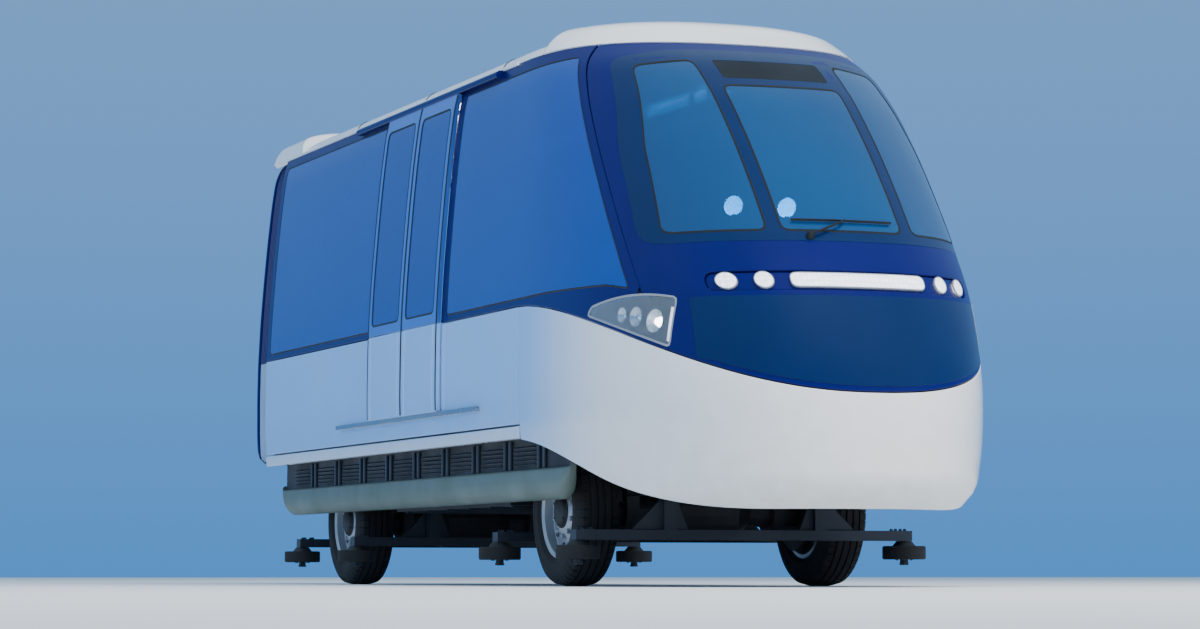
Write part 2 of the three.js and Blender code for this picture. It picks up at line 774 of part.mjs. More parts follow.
place(shell, "underframe", underframe(), STEEL_PAINT);
place(shell, "battery_box", box([-1500, 900], [-900, 900], [500, TURNTABLE.topZ]), STEEL_PAINT);
place(shell, "coupler", coupler(), CAST_IRON);
place(shell, "roof", roof(), WHITE_PAINT);
place(shell, "nose_mask", noseMask(), NAVY_PAINT);
place(shell, "nose_bumper", noseBumper(), WHITE_PAINT);
place(shell, "light_row", lightRow(), LAMP_LENS);
place(shell, "end_wall", endWall(), PALE_BLUE_PAINT);
place(shell, "gangway_frame", gangwayFrame(), NAVY_PAINT);
place(
  shell,
  "gangway_bellows_upper",
  wholeBellows.intersect(box([-FAR, 0], [-FAR, FAR], [WAIST_Z + GAP / 2, FAR])),
  NAVY_BELLOWS,
);
place(
  shell,
  "gangway_bellows_lower",
  wholeBellows.intersect(box([-FAR, 0], [-FAR, FAR], [0, WAIST_Z - GAP / 2])),
  GREY_BELLOWS,
);
for (const [where, outline] of Object.entries(screenOutlines())) {
  const pane = paneSheet.intersect(prism("front", shrunk(outline, GAP), SCREEN_SPAN));
  place(shell, `windscreen_${where}`, pane, SCREEN_GLASS);
}
for (const [name, side] of SIDES) {
  place(shell, `lower_side_${name}`, lowerSide(side), PALE_BLUE_PAINT);
  place(shell, `window_band_${name}`, windowBand(side), NAVY_PAINT);
  place(shell, `headlamp_${name}`, headlamp(side), LAMP_LENS);
  place(shell, `skirt_${name}`, skirt(side), GREY_GREEN_PLASTIC);
  for (const [where, outline] of Object.entries(sideWindows())) {
    const pane = paneSheet.intersect(prism("side", shrunk(outline, GAP), half(side)));
    place(shell, `side_glass_${name}_${where}`, pane, BLUE_GLASS);
  }
  place(cabin, `bench_${name}`, sideBench(side), SEAT_SHELL);
  for (const [where, direction] of [["front", 1], ["rear", -1]]) {
    const x = DOOR.centreX + (direction * DOOR.leafWidth) / 2;
    place(shell, `door_leaf_${name}_${where}`, doorLeaf(side), NAVY_PAINT, [x, 0, 0]);
    place(shell, `door_glass_${name}_${where}`, doorPane(side), BLUE_GLASS, [x, 0, 0]);
  }
}
place(cabin, "bench_front", frontBench(), SEAT_SHELL);
place(cabin, "console", consoleBlock(), CONSOLE_PLASTIC);

for (const [where, x] of AXLES) {
  const bogie = new THREE.Group();
  bogie.position.set(x, 0, 0);
  car.add(bogie);
  place(bogie, `bogie_frame_${where}`, bogieFrame(), STEEL_PAINT);
  place(bogie, `axle_${where}`, axle(), CAST_IRON, [0, 0, AXLE_Z]);
  for (const [name, side] of SIDES) {
    const hub = new THREE.Group();
    hub.position.set(0, side * TYRE.centreY, AXLE_Z);
    hub.rotation.z = side > 0 ? 0 : Math.PI;
    bogie.add(hub);
    place(hub, `rim_${where}_${name}`, rim(), RIM_PAINT);
    place(hub, `tyre_${where}_${name}`, tyre(), TYRE_RUBBER);
    for (const [end, armX] of [["fore", GUIDE.armX], ["aft", -GUIDE.armX]]) {
      const wheel = place(
        bogie,
        `guide_wheel_${where}_${name}_${end}`,
        guideWheel(),
        TYRE_RUBBER,
        [armX, side * GUIDE.armY, (GUIDE.bottomZ + GUIDE.topZ) / 2],
      );
      wheel.rotation.x = Math.PI / 2;
    }
  }
}

export default car;
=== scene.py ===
import json
import math

import bpy
import numpy as np
from mathutils import Matrix
from mathutils.geometry import delaunay_2d_cdt


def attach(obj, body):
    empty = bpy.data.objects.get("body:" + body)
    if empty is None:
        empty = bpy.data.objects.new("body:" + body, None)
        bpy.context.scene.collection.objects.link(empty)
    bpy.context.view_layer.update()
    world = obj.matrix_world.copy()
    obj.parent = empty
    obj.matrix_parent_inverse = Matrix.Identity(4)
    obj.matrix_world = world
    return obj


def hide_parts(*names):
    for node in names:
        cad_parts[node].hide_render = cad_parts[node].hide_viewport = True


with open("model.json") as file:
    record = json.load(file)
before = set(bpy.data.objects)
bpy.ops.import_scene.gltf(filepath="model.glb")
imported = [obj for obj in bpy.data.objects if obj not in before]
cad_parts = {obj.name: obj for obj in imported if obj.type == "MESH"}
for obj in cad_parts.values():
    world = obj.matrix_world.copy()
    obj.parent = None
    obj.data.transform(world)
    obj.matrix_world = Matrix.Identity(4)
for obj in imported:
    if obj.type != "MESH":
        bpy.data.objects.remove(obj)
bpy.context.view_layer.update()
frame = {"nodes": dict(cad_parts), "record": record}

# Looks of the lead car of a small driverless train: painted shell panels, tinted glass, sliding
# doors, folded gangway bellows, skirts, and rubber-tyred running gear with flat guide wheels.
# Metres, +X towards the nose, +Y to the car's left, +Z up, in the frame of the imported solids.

# Outer skin, level by level: height, half width, x of the nose tip, x where the side curves in
SKIN_LEVELS = np.array([
    [0.420, 1.020, 4.200, 1.900], [0.520, 1.085, 4.340, 1.900], [0.700, 1.125, 4.395, 1.900],
    [0.880, 1.150, 4.400, 1.850], [1.100, 1.168, 4.385, 1.800], [1.400, 1.170, 4.300, 1.800],
    [1.670, 1.165, 4.170, 1.800], [1.970, 1.150, 3.950, 1.750], [2.300, 1.125, 3.680, 1.700],
    [2.600, 1.098, 3.400, 1.650], [2.890, 1.066, 3.080, 1.550], [3.080, 1.038, 2.800, 1.450],
    [3.210, 1.005, 2.520, 1.350]])
LOW_ROOF = np.array([
    [3.210, 1.005, 2.520, 1.350], [3.280, 0.930, 2.420, 1.250], [3.310, 0.760, 2.260, 1.150],
    [3.325, 0.400, 2.000, 0.900], [3.330, 0.000, 1.700, 0.700]])
TALL_ROOF = np.array([
    [3.211, 1.013, 2.530, 1.350], [3.290, 0.978, 2.400, 1.250], [3.360, 0.900, 2.280, 1.150],
    [3.405, 0.700, 2.080, 1.000], [3.421, 0.350, 1.860, 0.800], [3.425, 0.000, 1.760, 0.700]])
POWER_X, POWER_Y = 3.2, 2.4
REAR_X, SEAM_X, COUPLING_X = -4.0, 1.8, -4.4
SILL_Z, WAIST_Z, CANT_Z = 0.88, 1.67, 3.21
SWOOSH_X, SWOOSH_Z, SWOOSH_POWER = 4.42, 1.04, 1.6
CHIN_X, CHIN_LENGTH, CHIN_DROP = 1.6, 2.5, 0.46
MASK_TOP, MASK_FOOT = (2.2, 3.25), (3.7, 1.29)
DOOR_X, LEAF_WIDTH, LEAF_Z = -0.45, 0.76, (1.105, 3.15)
DOORWAY_X, DOORWAY_TOP = (DOOR_X - 0.74, DOOR_X + 0.74), 3.13
LIGHT_ROW_Z = 1.67
AXLES = {"front": 1.8, "rear": -2.7}
SIDES = {"right": -1, "left": 1}


# Curves and the skin

def mm(*points):
    """Points or lengths given in millimetres, in metres."""
    return np.array(points) / 1000


def rect(low_x, high_x, low_z, high_z):
    """Corners of a rectangle, counter-clockwise."""
    return [(low_x, low_z), (high_x, low_z), (high_x, high_z), (low_x, high_z)]


def unit(v):
    """Vectors scaled to length one."""
    return v / np.maximum(np.linalg.norm(v, axis=-1, keepdims=True), 1e-12)


def through(levels, height):
    """The other columns of the levels at any height, their first: a cubic Hermite curve through
    the levels whose slope at each one is the weighted mean of its neighbours' chords."""
    z, values = levels[:, 0], levels[:, 1:]
    height = np.clip(height, z[0], z[-1])
    slopes = np.gradient(values, z, axis=0)
    i = np.clip(np.searchsorted(z, height, side="right") - 1, 0, len(z) - 2)
    step = (z[i + 1] - z[i])[..., None]
    t = (height - z[i])[..., None] / step
    return ((2 * t**3 - 3 * t**2 + 1) * values[i] + (t**3 - 2 * t**2 + t) * step * slopes[i]
            + (3 * t**2 - 2 * t**3) * values[i + 1] + (t**3 - t**2) * step * slopes[i + 1])


def half_width(z):
    """Half the skin's width behind the nose at a height."""
    return through(SKIN_LEVELS, np.asarray(z, float))[..., 0]


# Distance along the nose's plan curve at the waist, from the centre line to each angle
ANGLES = (np.pi / 2) * np.linspace(0, 1, 4001) ** 1.6
WAIST_PLAN = np.stack([2.37 * np.sin(ANGLES) ** (2 / POWER_X),
                       1.165 * np.cos(ANGLES).clip(0) ** (2 / POWER_Y)], -1)
ARC = np.append(np.cumsum(np.linalg.norm(np.diff(WAIST_PLAN, axis=0), axis=1)[::-1])[::-1], 0.0)
NOSE_ARC = float(ARC[0])


def skin_surface(s, z):
    """Point of the outer skin. The plan at each height is a superellipse quarter on each side of
    the nose and straight behind it; s is the distance round it from the nose's middle."""
    s, z = np.broadcast_arrays(np.asarray(s, float), np.asarray(z, float))
    half, tip, start = np.moveaxis(through(SKIN_LEVELS, z), -1, 0)
    angle = np.interp(np.abs(s), ARC[::-1], ANGLES[::-1])
    x = start + (tip - start) * np.sin(angle) ** (2 / POWER_X) - np.maximum(np.abs(s) - NOSE_ARC, 0)
    y = np.sign(s) * half * np.cos(angle).clip(0) ** (2 / POWER_Y)
    return np.stack([x, y, z], -1)


def skin_frame(s, z):
    """Unit vectors of the skin along s, up it, and outwards, from small differences."""
    d = 2e-3
    z = np.clip(z, SKIN_LEVELS[0, 0] + d, CANT_Z - d)
    along = unit(skin_surface(s + d, z) - skin_surface(s - d, z))
    up = unit(skin_surface(s, z + d) - skin_surface(s, z - d))
    out = unit(np.cross(along, up))
    return along, unit(np.cross(out, along)), out


def skin(s, z, out=0.0):
    """A point of the skin moved out along its normal."""
    return skin_surface(s, z) + skin_frame(s, z)[2] * np.asarray(out)[..., None]


def from_side(points, side):
    """Distance and height on the skin of points given in side view as (x, z)."""
    x, z = np.asarray(points, float).T
    _, tip, start = np.moveaxis(through(SKIN_LEVELS, z), -1, 0)
    share = np.clip((x - start) / (tip - start), 0, 1)
    s = np.interp(np.arcsin(share ** (POWER_X / 2)), ANGLES, ARC) + np.maximum(start - x, 0)
    return np.stack([side * s, z], -1)


def from_front(points):
    """Distance and height on the skin of points given in front view as (y, z)."""
    y, z = np.asarray(points, float).T
    angle = np.arccos(np.clip(np.abs(y) / half_width(z), 0, 1) ** (POWER_Y / 2))
    return np.stack([np.sign(y) * np.interp(angle, ANGLES, ARC), z], -1)


def swoosh_height(x):
    """Line between the white bumper and what is above it: level with the waist, then falling as
    a power of the distance into the nose."""
    share = np.clip((x - SEAM_X) / (SWOOSH_X - SEAM_X), 0, None)
    return WAIST_Z - (WAIST_Z - SWOOSH_Z) * share**SWOOSH_POWER


def chin_height(x):
    """Lower edge of the bumper: an S-curve from the sill down to the chin."""
    share = np.clip((x - CHIN_X) / CHIN_LENGTH, 0, 1)
    return SILL_Z - CHIN_DROP * share**2 * (3 - 2 * share)


def mask_edge_x(z):
    """Slanted edge of the mask: a straight line from its foot to its top."""
    (top_x, top_z), (foot_x, foot_z) = MASK_TOP, MASK_FOOT
    return foot_x + (top_x - foot_x) * (z - foot_z) / (top_z - foot_z)


def round_the_nose(height, near_x, lift=0.0, count=90):
    """A side-view line z(x) carried round the nose from x on the right to x on the left. Each
    point's height is found by stepping to where the line and the skin agree."""
    z = np.full(count, float(height(near_x)) + lift)
    s = from_side([(near_x, z[0])], 1)[0, 0] * np.linspace(-1, 1, count)
    for _ in range(60):
        z = 0.5 * z + 0.5 * (height(skin_surface(s, z)[:, 0]) + lift)
    return np.stack([s, z], -1)


def round_outline(foot, left, top):
    """A closed outline from its lower line, its left edge going up, and its upper line, all
    from right to left; the right edge mirrors the left one."""
    return np.concatenate([foot[:-1], left[:-1], top[::-1][:-1], (left * [-1, 1])[::-1][:-1]])


def densified(points, step=0.05, closed=True):
    """The same line with points no further apart than a step."""
    points = np.asarray(points, float)
    ends = np.roll(points, -1, axis=0) if closed else points[1:]
    counts = [max(1, math.ceil(np.linalg.norm(b - a) / step)) for a, b in zip(points, ends)]
    parts = [a + (b - a) * np.linspace(0, 1, n, endpoint=False)[:, None]
             for a, b, n in zip(points, ends, counts)]
    return np.concatenate(parts if closed else [*parts, points[-1:]])


def eased(points, radius, steps=5):
    """A closed outline whose corners are rounded: each is a quadratic curve between two points a
    radius from it, or less where an edge is short."""
    points = np.asarray(points, float)
    t = np.linspace(0, 1, steps)[:, None]
    made = []
    for before, corner, after in zip(np.roll(points, 1, 0), points, np.roll(points, -1, 0)):
        a, b = [corner + unit(edge) * min(radius, np.linalg.norm(edge) * 0.45)
                for edge in (before - corner, after - corner)]
        made.append((1 - t) ** 2 * a + 2 * t * (1 - t) * corner + t**2 * b)
    return np.concatenate(made) if radius else points


def side_loop(points, side, corner=0.0, step=0.05):
    """A closed side-view outline laid on the skin."""
    return from_side(densified(eased(points, corner), step), side)


def front_loop(points, corner=0.0, step=0.05):
    """A closed front-view outline laid on the skin."""
    return from_front(densified(eased(points, corner), step))


def turning(loop):
    """Twice the area of a closed loop, positive where it runs counter-clockwise."""
    u, v = loop.T
    return np.sum(u * np.roll(v, -1) - np.roll(u, -1) * v)


def turned_left(loop):
    """The loop counter-clockwise."""
    return loop if turning(loop) > 0 else loop[::-1]


def inside(points, loop):
    """Which points lie in a closed loop: a ray from each crosses it an odd number of times."""
    x, y = points[:, 0, None], points[:, 1, None]
    (x0, y0), (x1, y1) = loop.T, np.roll(loop, -1, axis=0).T
    rise = np.where(y1 == y0, 1e-12, y1 - y0)
    return (((y0 > y) != (y1 > y)) & (x < x0 + (y - y0) * (x1 - x0) / rise)).sum(1) % 2 == 1


def edge_normals(loop):
    """Direction away from the material at each point of a loop that has it on the left, scaled
    so that an offset keeps every edge parallel."""
    edge = unit(np.roll(loop, -1, axis=0) - loop)
    normal = np.stack([edge[:, 1], -edge[:, 0]], -1)
    before = np.roll(normal, 1, axis=0)
    return (normal + before) / np.maximum(1 + (normal * before).sum(1, keepdims=True), 0.5)


def inset(loop, by):
    """The loop with all its edges moved in."""
    loop = turned_left(loop)
    return loop - edge_normals(loop) * by


def cut_out(loop, hole):
    """The loop less a hole that crosses its edge twice: what lies outside the hole, joined by the
    part of the hole's edge that lies inside the loop."""
    loop, hole = turned_left(densified(loop, 0.01)), turned_left(densified(hole, 0.01))
    runs = []
    for line, kept in ((loop, ~inside(loop, hole)), (hole, inside(hole, loop))):
        first = np.flatnonzero(kept & ~np.roll(kept, 1))[0]
        runs.append(np.roll(line, -first, axis=0)[:kept.sum()])
    return thinned(np.concatenate([runs[0], runs[1][::-1]]))


def thinned(loop, step=0.045, bend=0.04):
    """The loop without the points that lie on a nearly straight run, and no closer than a step
    there."""
    loop = loop[np.linalg.norm(loop - np.roll(loop, 1, axis=0), axis=1) > 1e-4]
    ahead = unit(np.roll(loop, -1, axis=0) - loop)
    turn = np.abs(np.cross(np.roll(ahead, 1, axis=0), ahead))
    run = np.cumsum(np.linalg.norm(loop - np.roll(loop, 1, axis=0), axis=1))
    keep, last = [], -1.0
    for i, (bent, far) in enumerate(zip(turn > bend, run)):
        if bent or far - last > step:
            keep.append(i)
            last = far
    return loop[keep]


# Shapes: each is (points, list of face arrays)

def grid(points, closed_rows=False, closed_columns=False):
    """Quads over a grid of points; their outer side is that of rows crossed with columns."""
    rows, columns = points.shape[:2]
    r = np.arange(rows if closed_rows else rows - 1)[:, None]
    c = np.arange(columns if closed_columns else columns - 1)[None, :]
    r1, c1 = (r + 1) % rows, (c + 1) % columns
    quads = np.stack([r * columns + c, r1 * columns + c, r1 * columns + c1, r * columns + c1], -1)
    return points.reshape(-1, 3), [quads.reshape(-1, 4)]


def joined(*shapes):
    """Several shapes as one."""
    starts = np.cumsum([0, *[len(points) for points, _ in shapes]])
    return (np.concatenate([points for points, _ in shapes]),
            [f + start for start, (_, faces) in zip(starts, shapes) for f in faces])


def sweep(sections, closed=False):
    """Closed sections, one array of points each, carried along a path; flat ends close it."""
    sections = np.asarray(sections)
    points, faces = grid(sections, closed, True)
    end = np.arange(sections.shape[1])[None]
    return points, faces if closed else [*faces, end, end[:, ::-1] + len(points) - end.size]


def sheet(face, back):
    """A closed sheet between two grids of points of one size; the first is its outer face."""
    (quads,), count = grid(face)[1], face.shape[0] * face.shape[1]
    index = np.arange(count).reshape(face.shape[:2])
    rim = np.concatenate([index[:-1, 0], index[-1, :-1], index[:0:-1, -1], index[0, :0:-1]])
    ahead = np.roll(rim, -1)
    return (np.concatenate([face, back]).reshape(-1, 3),
            [quads, quads[:, ::-1] + count, np.stack([ahead, rim, rim + count, ahead + count], -1)])


def on_side(shape, side):
    """A shape made for the left side, on either side of the car: mirrored on the right, with its
    faces turned back outwards."""
    return shape if side > 0 else (shape[0] * [1, -1, 1], [f[:, ::-1] for f in shape[1]])


def bar_along(axis, span, outline, ends=0.0):
    """A flat outline drawn out along an axis. The outline shrinks by a quarter circle of the end
    radius at both ends. Axis x takes (y, z), axis y takes (x, z) and axis z takes (x, y)."""
    outline = turned_left(np.asarray(outline, float))
    angle = np.linspace(0, np.pi / 2, 4) if ends else np.full(1, np.pi / 2)
    shrink, back = ends * (1 - np.sin(angle)), ends * (1 - np.cos(angle))[::-1]
    places = np.concatenate([span[0] + back, span[1] - back[::-1]])
    rings = outline - edge_normals(outline) * np.concatenate([shrink, shrink[::-1]])[:, None, None]
    rings = np.insert(rings, "xyz".index(axis), places[:, None], axis=2)
    return sweep(rings if axis == "y" else rings[:, ::-1])


def rounded(width, height, radius, steps=4):
    """Outline of a rectangle about the origin with round corners: a quarter circle about each."""
    angle = (np.linspace(0, np.pi / 2, steps) + np.arange(4)[:, None] * np.pi / 2).ravel()
    corners = np.array(rect(-1, 1, -1, 1))[[2, 3, 0, 1]] * [width / 2 - radius, height / 2 - radius]
    return np.repeat(corners, steps, axis=0) + radius * np.stack([np.cos(angle), np.sin(angle)], -1)


def block(low, high, radius=0.01):
    """A box with round edges: a rounded rectangle drawn out upwards, with eased ends."""
    low, high = np.minimum(low, high), np.maximum(low, high)
    size, centre = high - low, (low + high) / 2
    radius = min(radius, size.min() * 0.45)
    outline = rounded(*size[:2], radius) + centre[:2]
    return bar_along("z", (low[2], high[2]), outline, radius * 0.6)


def tube(path, radius, sides=12):
    """A round bar along a path of points. Its frame is carried from point to point without
    twist, and flat ends close it."""
    path = np.asarray(path, float)
    ahead = unit(np.gradient(path, axis=0))
    side = np.cross(ahead[0], [0, 0, 1.0])
    side = np.cross(ahead[0], [0, 1.0, 0]) if np.linalg.norm(side) < 0.1 else side
    angle = np.linspace(0, 2 * np.pi, sides, endpoint=False)[:, None]
    rings = []
    for point, direction, r in zip(path, ahead, np.broadcast_to(radius, len(path))):
        side = unit(side - direction * (side @ direction))
        other = np.cross(direction, side)
        rings.append(point + r * (np.cos(angle) * side - np.sin(angle) * other))
    return sweep(rings)


def spokes(axis, angle):
    """The unit axis, and unit vectors across it at each angle."""
    axis = unit(np.asarray(axis, float))
    side = unit(np.cross(axis, [1.0, 0, 0] if abs(axis[0]) < 0.9 else [0, 0, 1.0]))
    angle = angle[:, None]
    return axis, np.cos(angle) * side + np.sin(angle) * np.cross(axis, side)


def lathe(profile, centre, axis, segments=48, ripple=None):
    """A closed profile of (radius, place along the axis) turned about an axis through centre. A
    ripple gives angles and what to take off each point's radius at each of them."""
    profile = np.asarray(profile, float)
    angle, cut = ripple or (np.linspace(0, 2 * np.pi, segments, endpoint=False), 0.0)
    axis, across = spokes(axis, angle)
    radius = np.broadcast_to(profile[:, 0] - cut, (len(angle), len(profile)))
    points, (quads,) = grid(centre + radius[..., None] * across[:, None] + profile[:, 1:] * axis,
                            True, True)
    return points, [quads if turning(profile) > 0 else quads[:, ::-1]]


def bolts(places, axis, radius=0.012, height=0.012):
    """Hexagon heads on washers at several places, all along one axis."""
    head = [(0.0005, 0), (radius * 1.35, 0), (radius * 1.35, height * 0.2), (radius, height * 0.22),
            (radius, height * 0.85), (radius * 0.85, height), (0.0005, height)]
    return joined(*[lathe(head, place, axis, 6) for place in places])


def ring_of(count, radius, centre, axis, lift=0.0, turn=0.0):
    """Places round a circle about an axis."""
    axis, across = spokes(axis, np.linspace(0, 2 * np.pi, count, endpoint=False) + turn)
    return centre + across * radius + axis * lift


def panel(outline, holes=(), out=0.0, thick=0.02, roll=0.005, cell=0.07):
    """A closed panel that lies on the skin. Its edges roll over by a quarter circle, and its
    face is a net of triangles between the edge and points of a hexagonal grid. Its normals are
    the skin's on the face, and turn with the rolled edge."""
    loops = [turned_left(outline), *[turned_left(hole)[::-1] for hole in holes]]
    edge, normals = np.concatenate(loops), np.concatenate([edge_normals(loop) for loop in loops])
    starts = np.cumsum([0, *map(len, loops)])
    i = np.arange(len(edge))
    j = np.concatenate([np.roll(i[a:b], -1) for a, b in zip(starts, starts[1:])])
    low, high = edge.min(0), edge.max(0)
    net = []
    for k, z in enumerate(np.arange(low[1], high[1], cell * 0.866)):
        s = np.arange(low[0] + (k % 2) * cell / 2, high[0], cell)
        net.append(np.stack([s, np.full_like(s, z)], -1))
    net = np.concatenate(net)
    net = net[sum(inside(net, loop) for loop in loops) == 1]
    near = np.full(len(net), np.inf)
    for part in np.array_split(edge, max(1, len(edge) // 200)):
        near = np.minimum(near, np.linalg.norm(net[:, None] - part[None], axis=2).min(1))
    flat = np.concatenate([edge - normals * roll, net[near > cell * 0.55]])
    # A shift of a few micrometres, so that no three points of a straight edge lie in line
    meshed = flat + np.sin(np.arange(len(flat))[:, None] * np.array([12.9, 78.2])) * 3e-6
    _, _, triangles, origins, _, _ = delaunay_2d_cdt(
        meshed.tolist(), np.stack([i, j], -1).tolist(), [], 0, 1e-9)
    triangles = np.array([o[0] if o else -1 for o in origins])[np.array(triangles)]
    triangles = triangles[(triangles >= 0).all(1)]
    centre = meshed[triangles].mean(1)
    kept = sum(inside(centre, meshed[a:b]) for a, b in zip(starts, starts[1:])) == 1
    triangles = triangles[kept]
    a, b, c = np.moveaxis(meshed[triangles], 1, 0)
    triangles = np.where((np.cross(b - a, c - a) > 0)[:, None], triangles, triangles[:, ::-1])

    along, up, away = skin_frame(*edge.T)
    side = unit(normals[:, :1] * along + normals[:, 1:] * up)
    surface, face_away = skin_surface(*flat.T), skin_frame(*flat.T)[2]
    points, vectors = [surface + face_away * out], [face_away]
    for angle in map(math.radians, (0, 30, 60)):
        ring = edge - normals * roll * (1 - math.cos(angle))
        points.append(skin(*ring.T, out - roll * (1 - math.sin(angle))))
        vectors.append(math.cos(angle) * side + math.sin(angle) * away)
    points.append(surface + face_away * (out - thick))
    vectors = np.concatenate([*vectors, -face_away])
    first, second, third, back = len(flat) + len(edge) * np.arange(4)
    bands = [np.stack([a + i, a + j, b + j, b + i], -1)
             for a, b in ((first, second), (second, third), (third, 0), (back, first))]
    faces = [triangles, *bands, triangles[:, ::-1] + back]
    corner_normals = [vectors[f] for f in faces]
    corner_normals[4] = side[np.stack([i, j, j, i], -1)]
    return np.concatenate(points), faces, np.concatenate([n.reshape(-1, 3) for n in corner_normals])


def half_round(width, height, low=-0.003, steps=6):
    """Profile of a bead: half an ellipse on a flat foot."""
    angle = np.linspace(0, np.pi, steps)
    return np.stack([width / 2 * np.cos(angle), low + height * np.sin(angle)], -1)


def bead(loop, profile, closed=True):
    """A strip that follows a line on the skin. Its profile is (distance away from the line's
    left side, height over the skin), counter-clockwise seen along the line."""
    loop = turned_left(loop) if closed else loop
    normals = edge_normals(loop)
    if not closed:
        normals[0], normals[-1] = normals[1], normals[-2]
    rows = [skin(*(loop + normals * away).T, height) for away, height in profile]
    return sweep(np.array(rows).transpose(1, 0, 2), closed)


# Materials

def linear(colour):
    """An sRGB hex colour as linear red, green and blue."""
    values = np.array([int(colour[i:i + 2], 16) for i in (1, 3, 5)]) / 255
    values = np.where(values <= 0.04045, values / 12.92, ((values + 0.055) / 1.055) ** 2.4)
    return (*[float(v) for v in values], 1.0)


def feed(made, inputs):
    """Sets a node's inputs, each to a value or to what another node gives, as (node, output)."""
    for key, value in inputs.items():
        if isinstance(value, tuple) and isinstance(value[0], bpy.types.Node):
            made.id_data.links.new(value[0].outputs[value[1]], made.inputs[key])
        else:
            made.inputs[key].default_value = value
    return made


def node(tree, kind, inputs, **settings):
    """Adds a node with its settings and inputs."""
    made = tree.nodes.new("ShaderNode" + kind)
    for key, value in settings.items():
        setattr(made, key, value)
    return feed(made, inputs)


def noise(tree, place, scale, detail):
    """What a noise texture gives at a place."""
    return node(tree, "TexNoise", {"Vector": place, "Scale": scale, "Detail": detail}), "Fac"


def ranged(tree, value, low, high, lowest=0.0, highest=1.0, **settings):
    """A value between low and high, taken to the range from lowest to highest."""
    return node(tree, "MapRange", {"Value": value, "From Min": low, "From Max": high,
                                   "To Min": lowest, "To Max": highest}, **settings), 0


def mixed(tree, share, first, second):
    """Two colours mixed by a share. The node has inputs of one name for each type of value, so
    those for colours are found by number."""
    return node(tree, "Mix", {"Factor": share, 6: first, 7: second}, data_type="RGBA"), 2


def surface(name):
    """A new material, its node tree and shader, and what gives the place on the object."""
    material = bpy.data.materials.new(name)
    material.use_nodes = True
    tree = material.node_tree
    return material, tree, tree.nodes["Principled BSDF"], (node(tree, "TexCoord", {}), "Object")


def coated(name, colour, shade, rough, coat=1.0, gloss=0.5, low_shade=None, sky_shade=None):
    """Sprayed paint under a clear coat: two tones drift over half a metre, the coat's skin has
    a fine orange peel, a painted sky shade may turn the paint pale blue along the car, and a painted
    shade, broken up by a speckle, may darken it towards the bottom."""
    material, tree, shader, place = surface(name)
    last = mixed(tree, noise(tree, place, 1.7, 3.0), linear(colour), linear(shade))
    axes = node(tree, "SeparateXYZ", {"Vector": place})
    # Painted sky shade: the paint turns towards the tint from one x to another along the car
    if sky_shade:
        tint, (start, end) = sky_shade
        along = ranged(tree, (axes, "X"), end, start, interpolation_type="SMOOTHSTEP")
        last = mixed(tree, along, last, linear(tint))
    # Painted shade: the colour darkens towards the foot of the height range, broken up by a speckle
    if low_shade:
        tint, (foot, top), amount = low_shade
        speckle, low = noise(tree, place, 9.0, 6.0), ranged(tree, (axes, "Z"), foot, top, amount, 0.0)
        share = node(tree, "Math", {0: low, 1: speckle}, operation="MULTIPLY")
        last = mixed(tree, (share, 0), last, linear(tint))
    peel = noise(tree, place, 160.0, 1.0)
    bump = node(tree, "Bump", {"Height": peel, "Strength": 0.1, "Distance": 0.0004})
    feed(shader, {"Base Color": last, "Roughness": rough, "Specular IOR Level": gloss,
                  "Coat Weight": coat, "Coat Roughness": 0.06, "Coat Normal": (bump, 0)})
    return material


def grained(name, colour, shade, rough, grain, depth, metallic=0.0, spread=0.12, drift=3.0,
            sheen=0.0):
    """A bare or matt surface: grain of a real size in metres gives the bump, and two tones
    drift over it with part of the roughness."""
    material, tree, shader, place = surface(name)
    broad, fine = noise(tree, place, drift, 5.0), noise(tree, place, 1 / grain, 2.0)
    tones = mixed(tree, broad, linear(colour), linear(shade))
    level = ranged(tree, broad, 0.3, 0.7, rough - spread, rough + spread)
    bump = node(tree, "Bump", {"Height": fine, "Strength": 0.6, "Distance": depth})
    feed(shader, {"Base Color": tones, "Roughness": level, "Normal": (bump, 0),
                  "Metallic": metallic, "Sheen Weight": sheen})
    return material


def tinted(name, colour, shade, clear):
    """Glass or a clear plastic: a colour that lets part of the light through, a slow drift of the
    tint, and a polished face."""
    material, tree, shader, place = surface(name)
    tones = mixed(tree, noise(tree, place, 0.8, 2.0), linear(colour), linear(shade))
    feed(shader, {"Base Color": tones, "Roughness": 0.03, "IOR": 1.5, "Transmission Weight": clear})
    return material


def glowing(name, colour, strength, rough=0.15, cell=0.03):
    """A lamp's lens or diffuser, lit from behind by rows of diodes: brighter over each one, with
    a slightly uneven face."""
    material, tree, shader, place = surface(name)
    ribs = node(tree, "TexWave", {"Vector": place, "Scale": 14.0, "Distortion": 0.5})
    bump = node(tree, "Bump", {"Height": (ribs, "Fac"), "Strength": 0.25, "Distance": 0.002})
    diodes = node(tree, "TexVoronoi", {"Vector": place, "Scale": 1 / cell, "Randomness": 0.0})
    level = ranged(tree, (diodes, "Distance"), 0.1, 0.7, strength * 1.3, strength * 0.55)
    feed(shader, {"Normal": (bump, 0), "Base Color": linear(colour), "Roughness": rough,
                  "Emission Color": linear(colour), "Emission Strength": level, "Coat Weight": 0.8})
    return material
